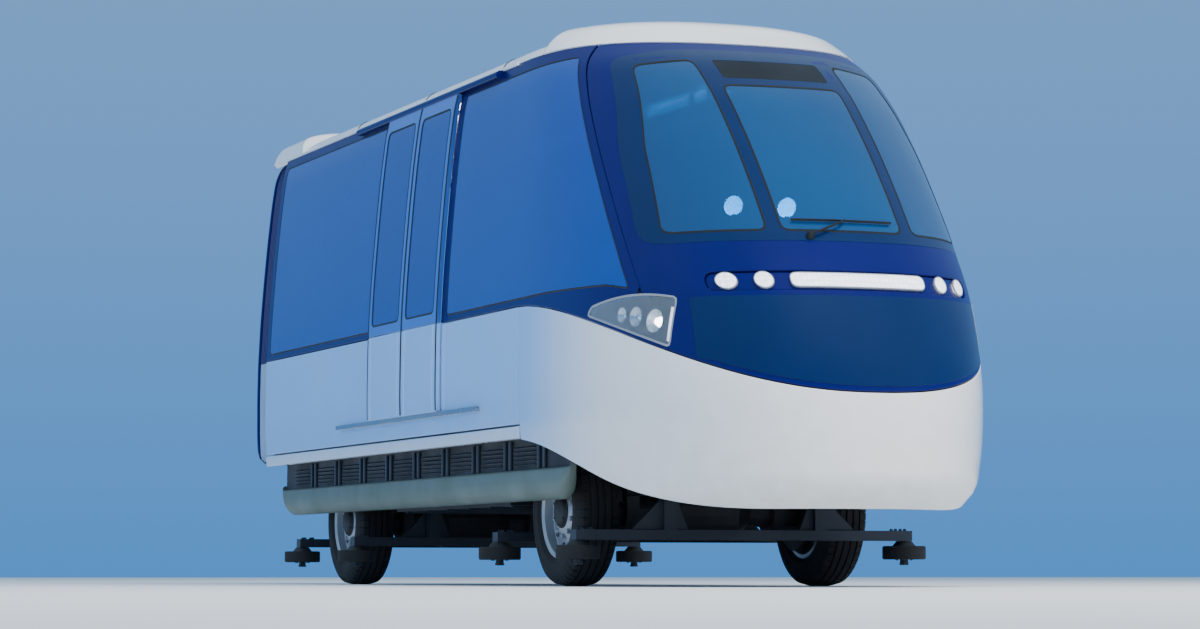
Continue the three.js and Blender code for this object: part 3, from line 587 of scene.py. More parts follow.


# Two-pack polyurethane paint, sprayed and clear-coated: deep gloss with a fine orange peel
# The white's lower part is darkened by painted shade, and near the side seam it turns to the side's painted
# sky-blue shade
WHITE_PAINT = coated("white_two_pack_paint", "#f3f5f4", "#e9edee", 0.32,
                     low_shade=("#b9b6aa", (0.45, 1.3), 0.5), sky_shade=("#8ec0f8", (1.75, 3.2)))
ROOF_PAINT = coated("white_roof_paint", "#f5f8fa", "#e6edf2", 0.38)
# The side's white paint is painted pale blue as a painted sky shade, and painted shade darkens it towards its
# foot
SIDE_PAINT = coated("white_paint_painted_sky_blue", "#8ec0f8", "#9ac8fa", 0.3,
                    low_shade=("#8aa6c8", (0.88, 1.3), 0.5))
# The sill strip is painted a lighter blue than the side as a painted highlight along it, with the same
# painted sky shade, and painted shade darkens it towards its foot
SILL_PAINT = coated("sill_paint_painted_light", "#c4dcf8", "#b6d2f4", 0.34,
                    low_shade=("#a9b3bd", (0.86, 1.1), 0.5))
NAVY_PAINT = coated("navy_two_pack_paint", "#020a60", "#020852", 0.35, 0.12, 0.2)
MASK_PAINT = coated("dark_teal_two_pack_paint", "#032252", "#021c46", 0.3, 0.16, 0.22)
DOOR_PAINT = coated("blue_two_pack_paint", "#2a6ac4", "#2462ba", 0.28, 0.4)
# Safety glass, laminated with a tinted interlayer or toughened: polished, and dark from outside
BLUE_GLASS = tinted("blue_laminated_glass", "#0048a2", "#004096", 0.10)
DOOR_GLASS = tinted("blue_toughened_glass", "#00449e", "#003c90", 0.12)
SCREEN_GLASS = tinted("dark_laminated_glass", "#08447c", "#0f548e", 0.36)
# Polycarbonate, moulded: the clear covers and bulbs of the headlamps
CLEAR_GLASS = tinted("clear_polycarbonate", "#e9f1f6", "#dfe9f0", 0.95)
# EPDM rubber, extruded: matt black with a soft sheen
SEAL_RUBBER = grained("epdm_rubber", "#14161a", "#1b1e23", 0.6, 0.004, 0.0003)
# Ribbed acrylic over rows of diodes, faintly lit
LENS = glowing("lit_acrylic_lens", "#f1f4ff", 1.6)
# Clear acrylic over a single strong diode: one headlamp bulb, and two console lamps seen through tinted glass
# that are painted highlights
GLINT_AND_BULB = glowing("lit_glint_and_bulb_lens", "#fff6ee", 150.0, cell=0.5)
# Opal polycarbonate over rows of white diodes: even and bright
DIFFUSER = glowing("lit_opal_diffuser", "#f6f9ff", 7.0, 0.4)
# Glass-filled polypropylene, moulded: dull grey-green with road dust
SKIRT_PLASTIC = grained("moulded_polypropylene", "#5f7068", "#52625a", 0.5, 0.006, 0.0006, drift=2.2)
# Structural steel under matt chassis paint, bare cast iron, steel under silver paint, and
# carbon-filled rubber
CHASSIS_PAINT = grained("chassis_paint_on_steel", "#262b33", "#343b45", 0.5, 0.008, 0.0005, 0.3)
CAST_IRON = grained("cast_iron", "#4a4c4e", "#36383a", 0.62, 0.005, 0.0012, 0.7)
RIM_PAINT = grained("silver_paint_on_steel", "#b4bac0", "#9ea5ad", 0.38, 0.01, 0.0003, 0.6)
TYRE_RUBBER = grained("tyre_rubber", "#1b1c1e", "#262728", 0.85, 0.003, 0.0004, spread=0.08)
# Chloroprene-coated fabric, folded: matt, with a fine weave under the coating
NAVY_BELLOWS = grained("coated_fabric_navy", "#0b1450", "#101b62", 0.75, 0.004, 0.0008, sheen=0.3)
GREY_BELLOWS = grained("coated_fabric_grey", "#8fb0cf", "#7d9dbd", 0.75, 0.004, 0.0008, sheen=0.3)
# Moulded plastics, a laminate and a sheet floor: satin, with a grain that breaks the gloss
SEAT_SHELL = grained("moulded_abs", "#2f5f9a", "#29558c", 0.5, 0.003, 0.0002)
CONSOLE_PLASTIC = grained("grained_abs", "#39434f", "#303943", 0.6, 0.003, 0.0004)
INTERIOR_PANEL = grained("melamine_wall_panel", "#dfe3e6", "#d3d8dc", 0.45, 0.004, 0.0001)
FLOOR_VINYL = grained("flecked_vinyl", "#5b6b7c", "#6f8093", 0.6, 0.008, 0.0002)
DARK_RECESS = grained("black_polyethylene", "#101318", "#1a1e24", 0.6, 0.01, 0.0005)
# Bare bright metal: tube brushed lengthwise, and a vacuum-coated mirror
STEEL_TUBE = grained("brushed_stainless_steel", "#c3c6c8", "#b2b5b8", 0.28, 0.001, 0.0001, 1.0, 0.06)
REFLECTOR = grained("metallised_reflector", "#e8ebee", "#d7dbe0", 0.15, 0.002, 0.0001, 1.0, 0.05)

# The finishes of each slot of the record; the solids that stay take the first
FINISHES = {
    "white_paint": (ROOF_PAINT, WHITE_PAINT), "side_paint": (SIDE_PAINT, SILL_PAINT),
    "navy_paint": (NAVY_PAINT, MASK_PAINT, DOOR_PAINT, SEAL_RUBBER, DARK_RECESS),
    "frame_paint": (CHASSIS_PAINT, STEEL_TUBE), "rim_paint": (RIM_PAINT, REFLECTOR),
    "cast_iron": (CAST_IRON,), "blue_glass": (BLUE_GLASS, DOOR_GLASS),
    "screen_glass": (SCREEN_GLASS,), "lamp_lens": (LENS, GLINT_AND_BULB, DIFFUSER, CLEAR_GLASS),
    "skirt_plastic": (SKIRT_PLASTIC,), "grey_bellows": (GREY_BELLOWS,),
    "navy_bellows": (NAVY_BELLOWS,), "seat_shell": (SEAT_SHELL, FLOOR_VINYL),
    "console_plastic": (CONSOLE_PLASTIC,), "tyre_rubber": (TYRE_RUBBER,)}


def finished(name, shape, material, replaces=None, body="body", smooth=35.0, lining=None):
    """A shape as an object that rides on a body, with its finish. It has the shape's own normals,
    or is smooth up to an angle. The lining goes on its last array of faces, which is a panel's
    inner side."""
    points, faces, *normals = shape
    mesh = bpy.data.meshes.new(name)
    corners = np.concatenate([f.ravel() for f in faces]).astype(np.int32)
    sizes = np.concatenate([np.full(len(f), f.shape[1]) for f in faces])
    mesh.vertices.add(len(points))
    mesh.vertices.foreach_set("co", np.ascontiguousarray(points, np.float32).ravel())
    mesh.loops.add(len(corners))
    mesh.loops.foreach_set("vertex_index", corners)
    mesh.polygons.add(len(sizes))
    mesh.polygons.foreach_set("loop_start", (np.cumsum(sizes) - sizes).astype(np.int32))
    mesh.update(calc_edges=True)
    mesh.polygons.foreach_set("use_smooth", np.ones(len(sizes), bool))
    if normals:
        mesh.normals_split_custom_set(normals[0].tolist())
    else:
        mesh.set_sharp_from_angle(angle=math.radians(smooth))
    mesh.materials.append(material)
    if lining:
        mesh.materials.append(lining)
        inner = np.arange(len(sizes)) >= len(sizes) - len(faces[-1])
        mesh.polygons.foreach_set("material_index", inner.astype(np.int32))
    obj = bpy.data.objects.new(name, mesh)
    bpy.context.scene.collection.objects.link(obj)
    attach(obj, body)
    if replaces:
        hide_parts(replaces)


# Shell panels

GROOVE, SHELL = 0.003, 0.05
PANEL_X = (REAR_X + 0.004, SEAM_X - GROOVE)
GLASS_FOOT, GLASS_TOP = 1.715, 3.13
PANE_REACH = LEAF_WIDTH + 0.095
# Side panes in side view, behind and before the doors
SIDE_PANES = {
    "rear": rect(-3.89, DOOR_X - PANE_REACH, GLASS_FOOT, GLASS_TOP),
    "front": [(DOOR_X + PANE_REACH, GLASS_FOOT), (2.3, GLASS_FOOT), (3.08, 1.70),
              (mask_edge_x(1.665) - 0.09, 1.665), (mask_edge_x(GLASS_TOP) - 0.07, GLASS_TOP),
              (DOOR_X + PANE_REACH, GLASS_TOP)]}
# Wind screen panes in front view
SCREEN_FOOT, SCREEN_TOP, SCREEN_HALF = 1.96, 2.88, 0.365
SIDE_SCREEN = np.array([(0.44, SCREEN_FOOT), (0.9, SCREEN_FOOT), (0.86, 2.5), (0.76, 3.03), (0.44, 3.06)])
SCREENS = {"centre": rect(-SCREEN_HALF, SCREEN_HALF, SCREEN_FOOT, SCREEN_TOP),
           "right": SIDE_SCREEN * [-1, 1], "left": SIDE_SCREEN}
LIGHT_ROW = rect(-0.79, 0.79, LIGHT_ROW_Z - 0.055, LIGHT_ROW_Z + 0.055)


def headlamp_loop(side):
    """Headlamp in side view, on the skin: its foot runs along the swoosh, and its top rises from
    a narrow tail as a sine to the full height at the front."""
    x = np.linspace(2.90, 3.70, 16)
    share = np.linspace(1, 0.05, 16)
    top_x = 2.90 + 0.80 * share
    foot = np.stack([x, swoosh_height(x) + 0.025], -1)
    top = np.stack([top_x, swoosh_height(top_x) + 0.065 + 0.24 * np.sin(share * np.pi / 2.4)], -1)
    return side_loop(eased(np.concatenate([foot, top]), 0.03, 3), side, step=0.03)


def window_band(side):
    """Upper side between waist and roof: pillars between the panes, cut for the doors and the
    headlamp's tail."""
    x = np.linspace(SEAM_X, MASK_FOOT[0], 24)
    outline = side_loop(np.concatenate([
        [(PANEL_X[0], WAIST_Z + GROOVE)], np.stack([x, swoosh_height(x) + GROOVE], -1),
        [(mask_edge_x(CANT_Z) - 0.004, CANT_Z - GROOVE), (PANEL_X[0], CANT_Z - GROOVE)]]), side)
    outline = cut_out(outline, side_loop(rect(*DOORWAY_X, 1.5, DOORWAY_TOP), side))
    holes = [side_loop(pane, side, 0.04) for pane in SIDE_PANES.values()]
    return panel(cut_out(outline, headlamp_loop(side)), holes, thick=SHELL)


def nose_mask():
    """Navy front between the two slanted edges, open for the screens and the lamps."""
    foot = round_the_nose(swoosh_height, MASK_FOOT[0] + 0.004, GROOVE)
    z = np.linspace(foot[-1, 1], CANT_Z - GROOVE, 40)
    left = from_side(np.stack([mask_edge_x(z) + 0.004, z], -1), 1)
    top = np.stack([np.linspace(-left[-1, 0], left[-1, 0], 90), np.full(90, z[-1])], -1)
    outline = round_outline(foot, left, top)
    for side in SIDES.values():
        outline = cut_out(outline, headlamp_loop(side))
    holes = [front_loop(pane, 0.05) for pane in SCREENS.values()]
    return panel(outline, [*holes, front_loop(LIGHT_ROW, 0.053)], thick=SHELL, cell=0.06)


def nose_bumper():
    """White wrap-round from the waist seam to the chin."""
    foot, top = [round_the_nose(height, SEAM_X + GROOVE, lift, 160)
                 for height, lift in ((chin_height, 0.0), (swoosh_height, -GROOVE))]
    z = np.linspace(foot[-1, 1], top[-1, 1], 18)
    left = from_side(np.stack([np.full(18, SEAM_X + GROOVE), z], -1), 1)
    return panel(round_outline(foot, left, top), thick=SHELL, roll=0.008, cell=0.06)


def edging(name, loop, width, height, low=-0.003, material=SEAL_RUBBER, body="body"):
    """A half-round strip along a closed line on the skin."""
    finished(name, bead(loop, half_round(width, height, low)), material, body=body)


for side_name, side in SIDES.items():
    lower = cut_out(side_loop(rect(*PANEL_X, 0.965, WAIST_Z - GROOVE), side),
                    side_loop(rect(*DOORWAY_X, 1.10, 1.9), side))
    finished(f"lower_panel_{side_name}", panel(lower, thick=SHELL), SIDE_PAINT,
             f"lower_side_{side_name}", lining=INTERIOR_PANEL)
    sill = side_loop(rect(*PANEL_X, SILL_Z, 0.955), side)
    finished(f"sill_strip_{side_name}", panel(sill, out=0.008, thick=SHELL, roll=0.01), SILL_PAINT)
    finished(f"window_frame_{side_name}", window_band(side), NAVY_PAINT, f"window_band_{side_name}",
             lining=INTERIOR_PANEL)
    for where, pane in SIDE_PANES.items():
        loop = side_loop(pane, side, 0.04)
        finished(f"side_pane_{side_name}_{where}", panel(inset(loop, 0.006), (), 0.001, 0.012, 0.002, 0.12),
                 BLUE_GLASS, f"side_glass_{side_name}_{where}")
        edging(f"side_seal_{side_name}_{where}", loop, 0.012, 0.006)
    lamp = headlamp_loop(side)
    for part, out, material, node_name in (("lens", 0.0, CLEAR_GLASS, f"headlamp_{side_name}"),
                                           ("bowl", -0.045, DARK_RECESS, None)):
        finished(f"headlamp_{part}_{side_name}", panel(inset(lamp, 0.004), (), out, 0.006, 0.002, 0.05),
                 material, node_name)
    edging(f"headlamp_rim_{side_name}", lamp, 0.014, 0.007, material=RIM_PAINT)
    edge = [(3.685, float(swoosh_height(3.685)) + high) for high in np.linspace(0.05, 0.24, 8)]
    finished(f"headlamp_light_guide_{side_name}",
             bead(from_side(edge, side)[::side], half_round(0.030, 0.010, -0.012), False), LENS)
    for k, (x, radius) in enumerate(((3.56, 0.062), (3.40, 0.052), (3.27, 0.040))):
        spot = from_side([(x, float(swoosh_height(x)) + 0.04 + radius * 1.5)], side)[0]
        place, axis = skin(*spot, -0.040), skin_frame(*spot)[2]
        bowl = np.array([(0.35, 0), (0.7, 0.010), (1, 0.028), (1.06, 0.030), (1.06, 0.024),
                         (0.72, 0.004), (0.35, -0.003)]) * [radius, 1]
        bulb = [(0.0005, 0.001), (radius * 0.36, 0.001), (radius * 0.33, 0.012),
                (radius * 0.18, 0.019), (0.0005, 0.021)]
        finished(f"headlamp_reflector_{side_name}_{k}", lathe(bowl, place, axis, 32), REFLECTOR)
        finished(f"headlamp_bulb_{side_name}_{k}", lathe(bulb, place, axis, 20),
                 CLEAR_GLASS if k else GLINT_AND_BULB)
finished("nose_front", nose_mask(), NAVY_PAINT, "nose_mask", lining=DARK_RECESS)
finished("nose_wrap", nose_bumper(), WHITE_PAINT, "nose_bumper", lining=CHASSIS_PAINT)
# Gloss surround of the screens, with a blank window for a route sign above the middle pane
surround = front_loop([(-0.985, 1.90), (0.985, 1.90), (0.955, 2.5), (0.845, 3.09), (0.5, 3.145),
                       (-0.5, 3.145), (-0.845, 3.09), (-0.955, 2.5)], 0.10)
screens = {where: front_loop(pane, 0.05) for where, pane in SCREENS.items()}
sign = front_loop(rect(-0.33, 0.33, 2.93, 3.06), 0.02)
finished("screen_surround", panel(surround, [*screens.values(), sign], 0.002, 0.004, 0.0015), MASK_PAINT)
finished("sign_window", panel(sign, (), 0.0015, 0.004, 0.001, 0.08), DARK_RECESS)
# Hatch under the lights, over the front coupling
hatch_y = np.linspace(0.86, -0.86, 40)
foot_line = round_the_nose(swoosh_height, 3.95, 0.03, 240)
foot_y = skin_surface(*foot_line.T)[:, 1]
order = np.argsort(foot_y)
hatch_foot = np.stack([hatch_y, np.interp(hatch_y, foot_y[order], foot_line[order, 1])], -1)
hatch_top = np.stack([hatch_y[::-1], np.full(40, 1.585)], -1)
hatch = front_loop(np.concatenate([hatch_top, hatch_foot])[::-1], 0.03)
finished("nose_hatch", panel(hatch, (), 0.003, 0.004, 0.0025), MASK_PAINT)
for where, loop in screens.items():
    finished(f"screen_pane_{where}", panel(inset(loop, 0.006), (), 0.001, 0.012, 0.002, 0.08),
             SCREEN_GLASS, f"windscreen_{where}")
    edging(f"screen_seal_{where}", loop, 0.02, 0.007)
finished("light_row_housing", panel(inset(front_loop(LIGHT_ROW, 0.053), 0.003), out=-0.012, cell=0.04),
         NAVY_PAINT, "light_row")
light_bar = front_loop(rect(-0.40, 0.40, LIGHT_ROW_Z - 0.040, LIGHT_ROW_Z + 0.040), 0.038)
finished("light_bar_lens", panel(light_bar, out=0.008, roll=0.01, cell=0.04), LENS)
turn = np.linspace(0, 2 * np.pi, 28, endpoint=False)
for k, y in enumerate((-0.70, -0.53, 0.53, 0.70)):
    disc = from_front(np.stack([y + 0.046 * np.cos(turn), LIGHT_ROW_Z + 0.046 * np.sin(turn)], -1))
    finished(f"round_lamp_lens_{k}", panel(disc, out=0.008, roll=0.01, cell=0.02), LENS)
    edging(f"round_lamp_bezel_{k}", disc, 0.009, 0.011, material=RIM_PAINT)
edging("light_bar_bezel", light_bar, 0.009, 0.011, material=RIM_PAINT)
# Wiper of the middle pane, parked along its foot
blade = skin(*densified(from_front([(-0.30, 2.015), (0.30, 2.015)]), 0.03, False).T, 0.014)
arm = from_front([(-0.22, 1.925), (-0.16, 1.945), (-0.02, 2.0), (0.0, 2.012)])
finished("screen_wiper", joined(
    tube(blade, 0.006, 8), tube(skin(*densified(arm, 0.02, False).T, 0.026), 0.007, 10),
    tube(blade + [0.006, 0, 0.003], 0.0035, 8),
    lathe(mm((0.5, 0), (26, 0), (24, 16), (12, 32), (0.5, 34)), skin(*arm[0]), skin_frame(*arm[0])[2], 24)),
    SEAL_RUBBER)


# Doors: two leaves a side, which ride on their own bodies

DOOR_OUT, LEAF_THICK, LEAF_LOW_Z, RAIL_X = 0.036, 0.030, (LEAF_Z[0], WAIST_Z), (-1.98, 1.08)
THRESHOLD = mm((-30, 1075), (36, 1075), (36, 1104), (20, 1104), (20, 1096), (12, 1096), (12, 1104),
               (-30, 1104)) + [half_width(1.09), 0]
HEADER = mm((-30, 3155), (46, 3155), (50, 3160), (50, 3185), (30, 3200), (-30, 3200)) + [half_width(3.18), 0]


def leaf_loop(x, side, low, high, margin=0.0, corner=0.008):
    """Part of a door leaf in side view, on the skin, a margin inside the leaf's edges."""
    reach = LEAF_WIDTH / 2 - 0.001 - margin
    return side_loop(rect(x - reach, x + reach, low, high), side, corner)


for side_name, side in SIDES.items():
    for where, direction in (("front", 1), ("rear", -1)):
        x, name = DOOR_X + direction * LEAF_WIDTH / 2, f"{side_name}_{where}"
        body, leaf = f"door_{name}", f"door_leaf_{name}"
        window = leaf_loop(x, side, 1.74, 3.06, 0.075, 0.05)
        finished(f"door_skin_{name}", panel(leaf_loop(x, side, LEAF_Z[0], WAIST_Z - 0.002), out=DOOR_OUT,
                 thick=LEAF_THICK, cell=0.12), SIDE_PAINT, leaf, body, lining=INTERIOR_PANEL)
        finished(f"door_frame_{name}", panel(leaf_loop(x, side, WAIST_Z + 0.002, LEAF_Z[1]), [window],
                 DOOR_OUT, LEAF_THICK, cell=0.1), DOOR_PAINT, leaf, body, lining=INTERIOR_PANEL)
        finished(f"door_pane_{name}", panel(inset(window, 0.004), (), 0.033, 0.008, 0.002, 0.14),
                 DOOR_GLASS, f"door_glass_{name}", body)
        edging(f"door_pane_seal_{name}", window, 0.014, 0.005, DOOR_OUT - 0.003, body=body)
        for part, offset, width, height, (low, high), material in (
                ("meeting_edge", -0.373, 0.012, 0.006, LEAF_Z, SEAL_RUBBER),
                ("outer_edge", 0.371, 0.016, 0.006, LEAF_Z, SEAL_RUBBER),
                ("rib_inner", -0.305, 0.012, 0.004, LEAF_LOW_Z, SILL_PAINT),
                ("rib_outer", 0.305, 0.012, 0.004, LEAF_LOW_Z, SILL_PAINT)):
            line = densified([(x + direction * offset, z) for z in (low + 0.01, high - 0.01)], 0.05, False)
            profile = half_round(width, height, DOOR_OUT - height / 2)
            finished(f"door_{part}_{name}", bead(from_side(line, side), profile, False), material, body=body)
    for name, outline, material, slot in (("threshold", THRESHOLD, STEEL_TUBE, "side_paint"),
                                          ("header", HEADER, NAVY_PAINT, None)):
        finished(f"{name}_rail_{side_name}", on_side(bar_along("x", RAIL_X, outline, 0.004), side),
                 material)


# Gangway: bellows, end frame

def gangway_hoop(margin, lift=0.0, step=0.035):
    """Front view of the gangway's hoop: up the side along the skin's width less a margin, over a
    low crown, and down the other side, then along the foot."""
    z = np.array([1.1, 1.4, 1.67, 1.97, 2.3, 2.6, 2.89, 3.08])
    left = np.array([(half_width(0.96) - margin, 0.92 + lift), *zip(half_width(z) - margin, z),
                     (0.99 - margin, CANT_Z - lift), (0.9 - margin, 3.26 - lift), (0.5, 3.29 - lift)])
    outline = np.concatenate([left, left[::-1] * [-1, 1]])
    return turned_left(densified(eased(outline, 0.06, 4), step))


def bellows(hoop, folds=9, deep=0.024, wall=0.012):
    """Folded sheet round the hoop. Along the car the fold's depth is one minus a power of a sine,
    so the outer folds are round and the inner creases sharp; the inner face follows it."""
    share = np.linspace(0, 1, folds * 8 + 1)
    depth = deep * (1 - np.abs(np.sin(np.pi * folds * share)) ** 0.7)
    x = -4.368 + 0.366 * share
    x, depth = np.concatenate([x, x[::-1]]), np.concatenate([depth, depth[::-1] + wall])
    return np.insert(hoop[:, None] - edge_normals(hoop)[:, None] * depth[:, None], 0, x, axis=2)


hoop = gangway_hoop(0.053, step=0.08)
for name, way, material in (("upper", 1, NAVY_BELLOWS), ("lower", -1, GREY_BELLOWS)):
    height = (hoop[:, 1] - WAIST_Z) * way
    first = np.flatnonzero((height > 0) & (np.roll(height, 1) <= 0))[0]
    height, folds = np.roll(height, -first), np.roll(bellows(hoop), -first, axis=0)
    count = int((height > 0).sum())
    near, past = [0, count - 1], [-1, count]
    share = (height[near] / (height[near] - height[past]))[:, None, None]
    start, end = folds[near] + (folds[past] - folds[near]) * share
    finished(f"gangway_bellows_{name}_folds", sweep([start, *folds[:count], end]), material,
             f"gangway_bellows_{name}", smooth=50)
hoop, section = gangway_hoop(0.085, 0.03), rounded(0.03, 0.088, 0.008, 3)
rings = np.insert(hoop[:, None] + edge_normals(hoop)[:, None] * section[:, 1:], 0,
                  COUPLING_X + 0.015 + section[:, 0], axis=2)
finished("gangway_end_frame", sweep(rings[:, ::-1], True), NAVY_PAINT, "gangway_frame")


# Skirts: a round lower lip under a dark recess with louvres and pipes; the recess is black partly as painted
# shade under the sill

SKIRT_X, SKIRT_FOOT, SKIRT_TOP, SKIRT_RADIUS = (-3.85, 2.45), 0.51, 0.702, 0.22
LIP = eased(mm((1005, 510), (1045, 510), (1082, 555), (1090, 620), (1083, 685), (1058, 702),
               (1015, 702)), 0.02, 4)
RECESS = mm((1012, 700), (1046, 700), (1044, 880), (1066, 935), (1066, 959), (1030, 959), (1012, 880))
SLAT = mm((1043, 0), (1058, -12), (1060, -9), (1045, 3))


def skirt_lip():
    """The lip's profile carried along the car. A quarter circle lifts its foot at each end, its
    heights close up between the foot and the top, and the last sections are drawn in."""
    ends = SKIRT_RADIUS * (1 - np.cos(np.linspace(0, np.pi / 2, 14)))
    x = np.concatenate([SKIRT_X[0] + ends, np.linspace(-3.6, 2.2, 24)[1:-1], (SKIRT_X[1] - ends)[::-1]])
    x = x[:, None]
    near = np.minimum(x - SKIRT_X[0], SKIRT_X[1] - x)
    drop = np.clip(SKIRT_RADIUS - near, 0, SKIRT_RADIUS)
    rise = SKIRT_RADIUS - np.sqrt(SKIRT_RADIUS**2 - drop**2)
    pull = 1 - 0.55 * (1 - np.clip(near / 0.12, 0, 1)) ** 2
    y, z = LIP.T
    z = SKIRT_TOP - (SKIRT_TOP - z) * (1 - rise / (SKIRT_TOP - SKIRT_FOOT))
    sections = np.stack(np.broadcast_arrays(x, y.mean() + (y - y.mean()) * pull, z), -1)
    return sweep(sections[:, ::-1])


louvres = []
for start in np.arange(-3.55, 1.9, 0.62):
    louvres += [bar_along("x", (start, start + 0.40), SLAT + [0, z]) for z in np.arange(0.735, 0.86, 0.026)]
    louvres += [block((start + post, 1.040, 0.705), (start + post + 0.04, 1.062, 0.875), 0.006)
                for post in (0.43, 0.53)]
pipes = [tube([(x, 1.060 + 0.004 * k, 0.893 + 0.024 * k) for x in np.linspace(-3.7, 2.3, 40)], 0.008, 10)
         for k in (0, 1)]
for side_name, side in SIDES.items():
    for name, shape, material, slot, node_name in (
            ("lip", skirt_lip(), SKIRT_PLASTIC, None, f"skirt_{side_name}"),
            # The recess wall is black plastic, dark partly as painted shade under the sill
            ("recess", bar_along("x", (SKIRT_X[0] + 0.03, SKIRT_X[1] - 0.03), RECESS, 0.01),
             DARK_RECESS, "skirt_plastic", f"skirt_{side_name}"),
            ("louvres", joined(*louvres), CHASSIS_PAINT, None, None),
            ("pipes", joined(*pipes), STEEL_TUBE, None, None)):
        finished(f"skirt_{name}_{side_name}", on_side(shape, side), material, node_name)


# Roof

def roof_section(levels, rows=26):
    """Height, half width, tip and start on the roof from its edge to the middle line, at even
    steps along a cubic Hermite curve through the levels."""
    steps = np.column_stack([np.linspace(0, 1, len(levels)), levels])
    return through(steps, np.linspace(0, 1, rows)).T


def roof_cap(levels, from_x, columns=90):
    """Front of a roof from a cross-section at x round the nose: rings of the plan's superellipse
    that rise and shrink to the middle line."""
    z, half, tip, start = roof_section(levels)[:, :, None]
    first = np.arcsin(np.clip((from_x - start) / (tip - start), 0, 1) ** (POWER_X / 2))
    t = np.linspace(-1, 1, columns)
    angle = np.pi / 2 - np.abs(t) ** 1.2 * (np.pi / 2 - first)
    x = start + (tip - start) * np.sin(angle) ** (2 / POWER_X)
    y = np.sign(t) * half * np.cos(angle).clip(0) ** (2 / POWER_Y)
    return np.stack(np.broadcast_arrays(x, y, z), -1)


def roof_run(levels, xs):
    """Roof between cross-sections: at each x the half widths follow the same superellipse."""
    z, half, tip, start = roof_section(levels)
    xs = np.asarray(xs, float)[:, None]
    t = np.clip((xs - start) / (tip - start), 0, 1)
    right = np.stack(np.broadcast_arrays(xs, -half * (1 - t**POWER_X) ** (1 / POWER_Y), z), -1)
    return np.concatenate([right, (right * [1, -1, 1])[:, -2::-1]], 1)


def end_face(line, place, roll=0.02):
    """Rows that close a roof's open end. Its edge rolls over by a quarter circle, and the face
    goes down to the low roof. The place gives x of the face at each height."""
    x, y, top = line.T[..., None]
    foot = np.interp(np.abs(y), LOW_ROOF[::-1, 1], LOW_ROOF[::-1, 0]) - 0.012
    rows = [line]
    for share in (0.35, 0.7, 1.0):
        height = np.maximum(top - roll * share, np.minimum(foot, top))
        rows.append(np.hstack([x + (place(height) - x) * math.sqrt(1 - (1 - share) ** 2), y, height]))
    foot = np.minimum(foot, height)
    return np.array([*rows, np.hstack([place(foot), y, foot])])


CAP_FRONT_X, CAP_REAR_X, CAP_TAPER, CAP_HEIGHT = 1.75, -3.56, 0.27, 0.215


def taper_x(z):
    """Slope of the rear cap: x falls from the cap's front edge as the height rises."""
    return CAP_REAR_X - CAP_TAPER * (z - CANT_Z) / CAP_HEIGHT


front = roof_cap(TALL_ROOF, CAP_FRONT_X + 0.02)
arch = np.concatenate([front[:, 0], front[-2::-1, -1]])
step_down = end_face(arch, lambda z: np.full_like(z, CAP_FRONT_X))[::-1]
dome = front.transpose(1, 0, 2)
finished("roof_front_cap", joined(sheet(dome, dome * [1, 0.965, 1] - [0.03, 0, 0.035]),
                                  sheet(step_down, step_down + [0.012, 0, 0])),
         ROOF_PAINT, "roof", smooth=50)
middle = roof_run(LOW_ROOF, np.linspace(CAP_FRONT_X + 0.03, -3.84, 60))[::-1]
finished("roof_middle", sheet(middle, middle * [1, 0.945, 1] - [0, 0, 0.055]), ROOF_PAINT,
         lining=INTERIOR_PANEL)
rear = roof_run(TALL_ROOF, np.linspace(CAP_REAR_X, -4.37, 16))
rear[..., :1] = np.minimum(rear[..., :1], taper_x(rear[..., 2:]) - 0.015)
slope, rear = end_face(rear[0], taper_x), rear[::-1]
finished("roof_rear_cap", joined(sheet(rear, rear * [1, 0.976, 1] - [0, 0, 0.025]),
                                 sheet(slope, slope - [0.012, 0, 0])), ROOF_PAINT, smooth=50)
for k, x in enumerate((-2.2, -0.6, 1.0)):
    line = roof_run(LOW_ROOF, [x])[0][2:-2]
    finished(f"roof_seam_{k}", tube(line - [0, 0, 0.001], 0.005, 8), SEAL_RUBBER)
for side_name, side in SIDES.items():
    line = [(x, side * (half_width(3.205) + 0.003), 3.206) for x in np.linspace(1.35, -4.0, 60)]
    finished(f"drip_edge_{side_name}", tube(line, 0.011, 10), ROOF_PAINT)


# Wheels: grooved tyres on disc rims, with brake discs, and flat guide wheels. Profiles are in
# millimetres: (radius, place along the axis) where they are turned, with 0.5 for a radius of
# nothing, and (y, z) for the braces.

TYRE_Y, AXLE_Z, UP, DOWN = 0.80, 0.45, (0, 0, 1), (0, 0, -1)
GROOVES = mm(-66, -22, 22, 66)
TYRE_WALL = mm((428, 115), (408, 126), (388, 132.5), (372, 135), (369, 136.8), (364, 136.8), (361, 134.5),
               (342, 134), (322, 131), (318, 133), (312, 133), (308, 129), (296, 124), (285.3, 112))
RIM = mm((71.5, -50), (118, -50), (124, -44), (196, 17), (206, 20), (250, 20), (255, 15), (255, -107),
         (259, -115), (280, -115), (285, -110), (285, 110), (280, 116), (272, 117), (262, 112), (255, 104),
         (255, 52), (249, 46), (200, 45), (188, 47), (126, 82), (118, 85), (71.5, 85))
HUB_CAP = mm((0.5, 100), (0.5, 114), (76, 112), (90, 104), (96, 92), (104, 90), (104, 85.5), (74.5, 85.5),
             (74.5, 100))
HAND_HOLE = mm((0.5, -2), (16, -2), (19.5, 3.5), (24, 3.5), (26, -2), (26, -4), (0.5, -4))
BRAKE_DISC = mm((88, -45), (106, -52), (106, -148), (232, -150), (235, -153), (235, -158), (228, -160),
                (228, -166), (235, -168), (235, -173), (232, -176), (86, -176), (86, -60))
GUIDE_TREAD = mm((88, -36), (92, -40), (122, -40), (128, -36), (130, -28), (130, 28), (128, 36), (122, 40),
                 (92, 40), (88, 36))
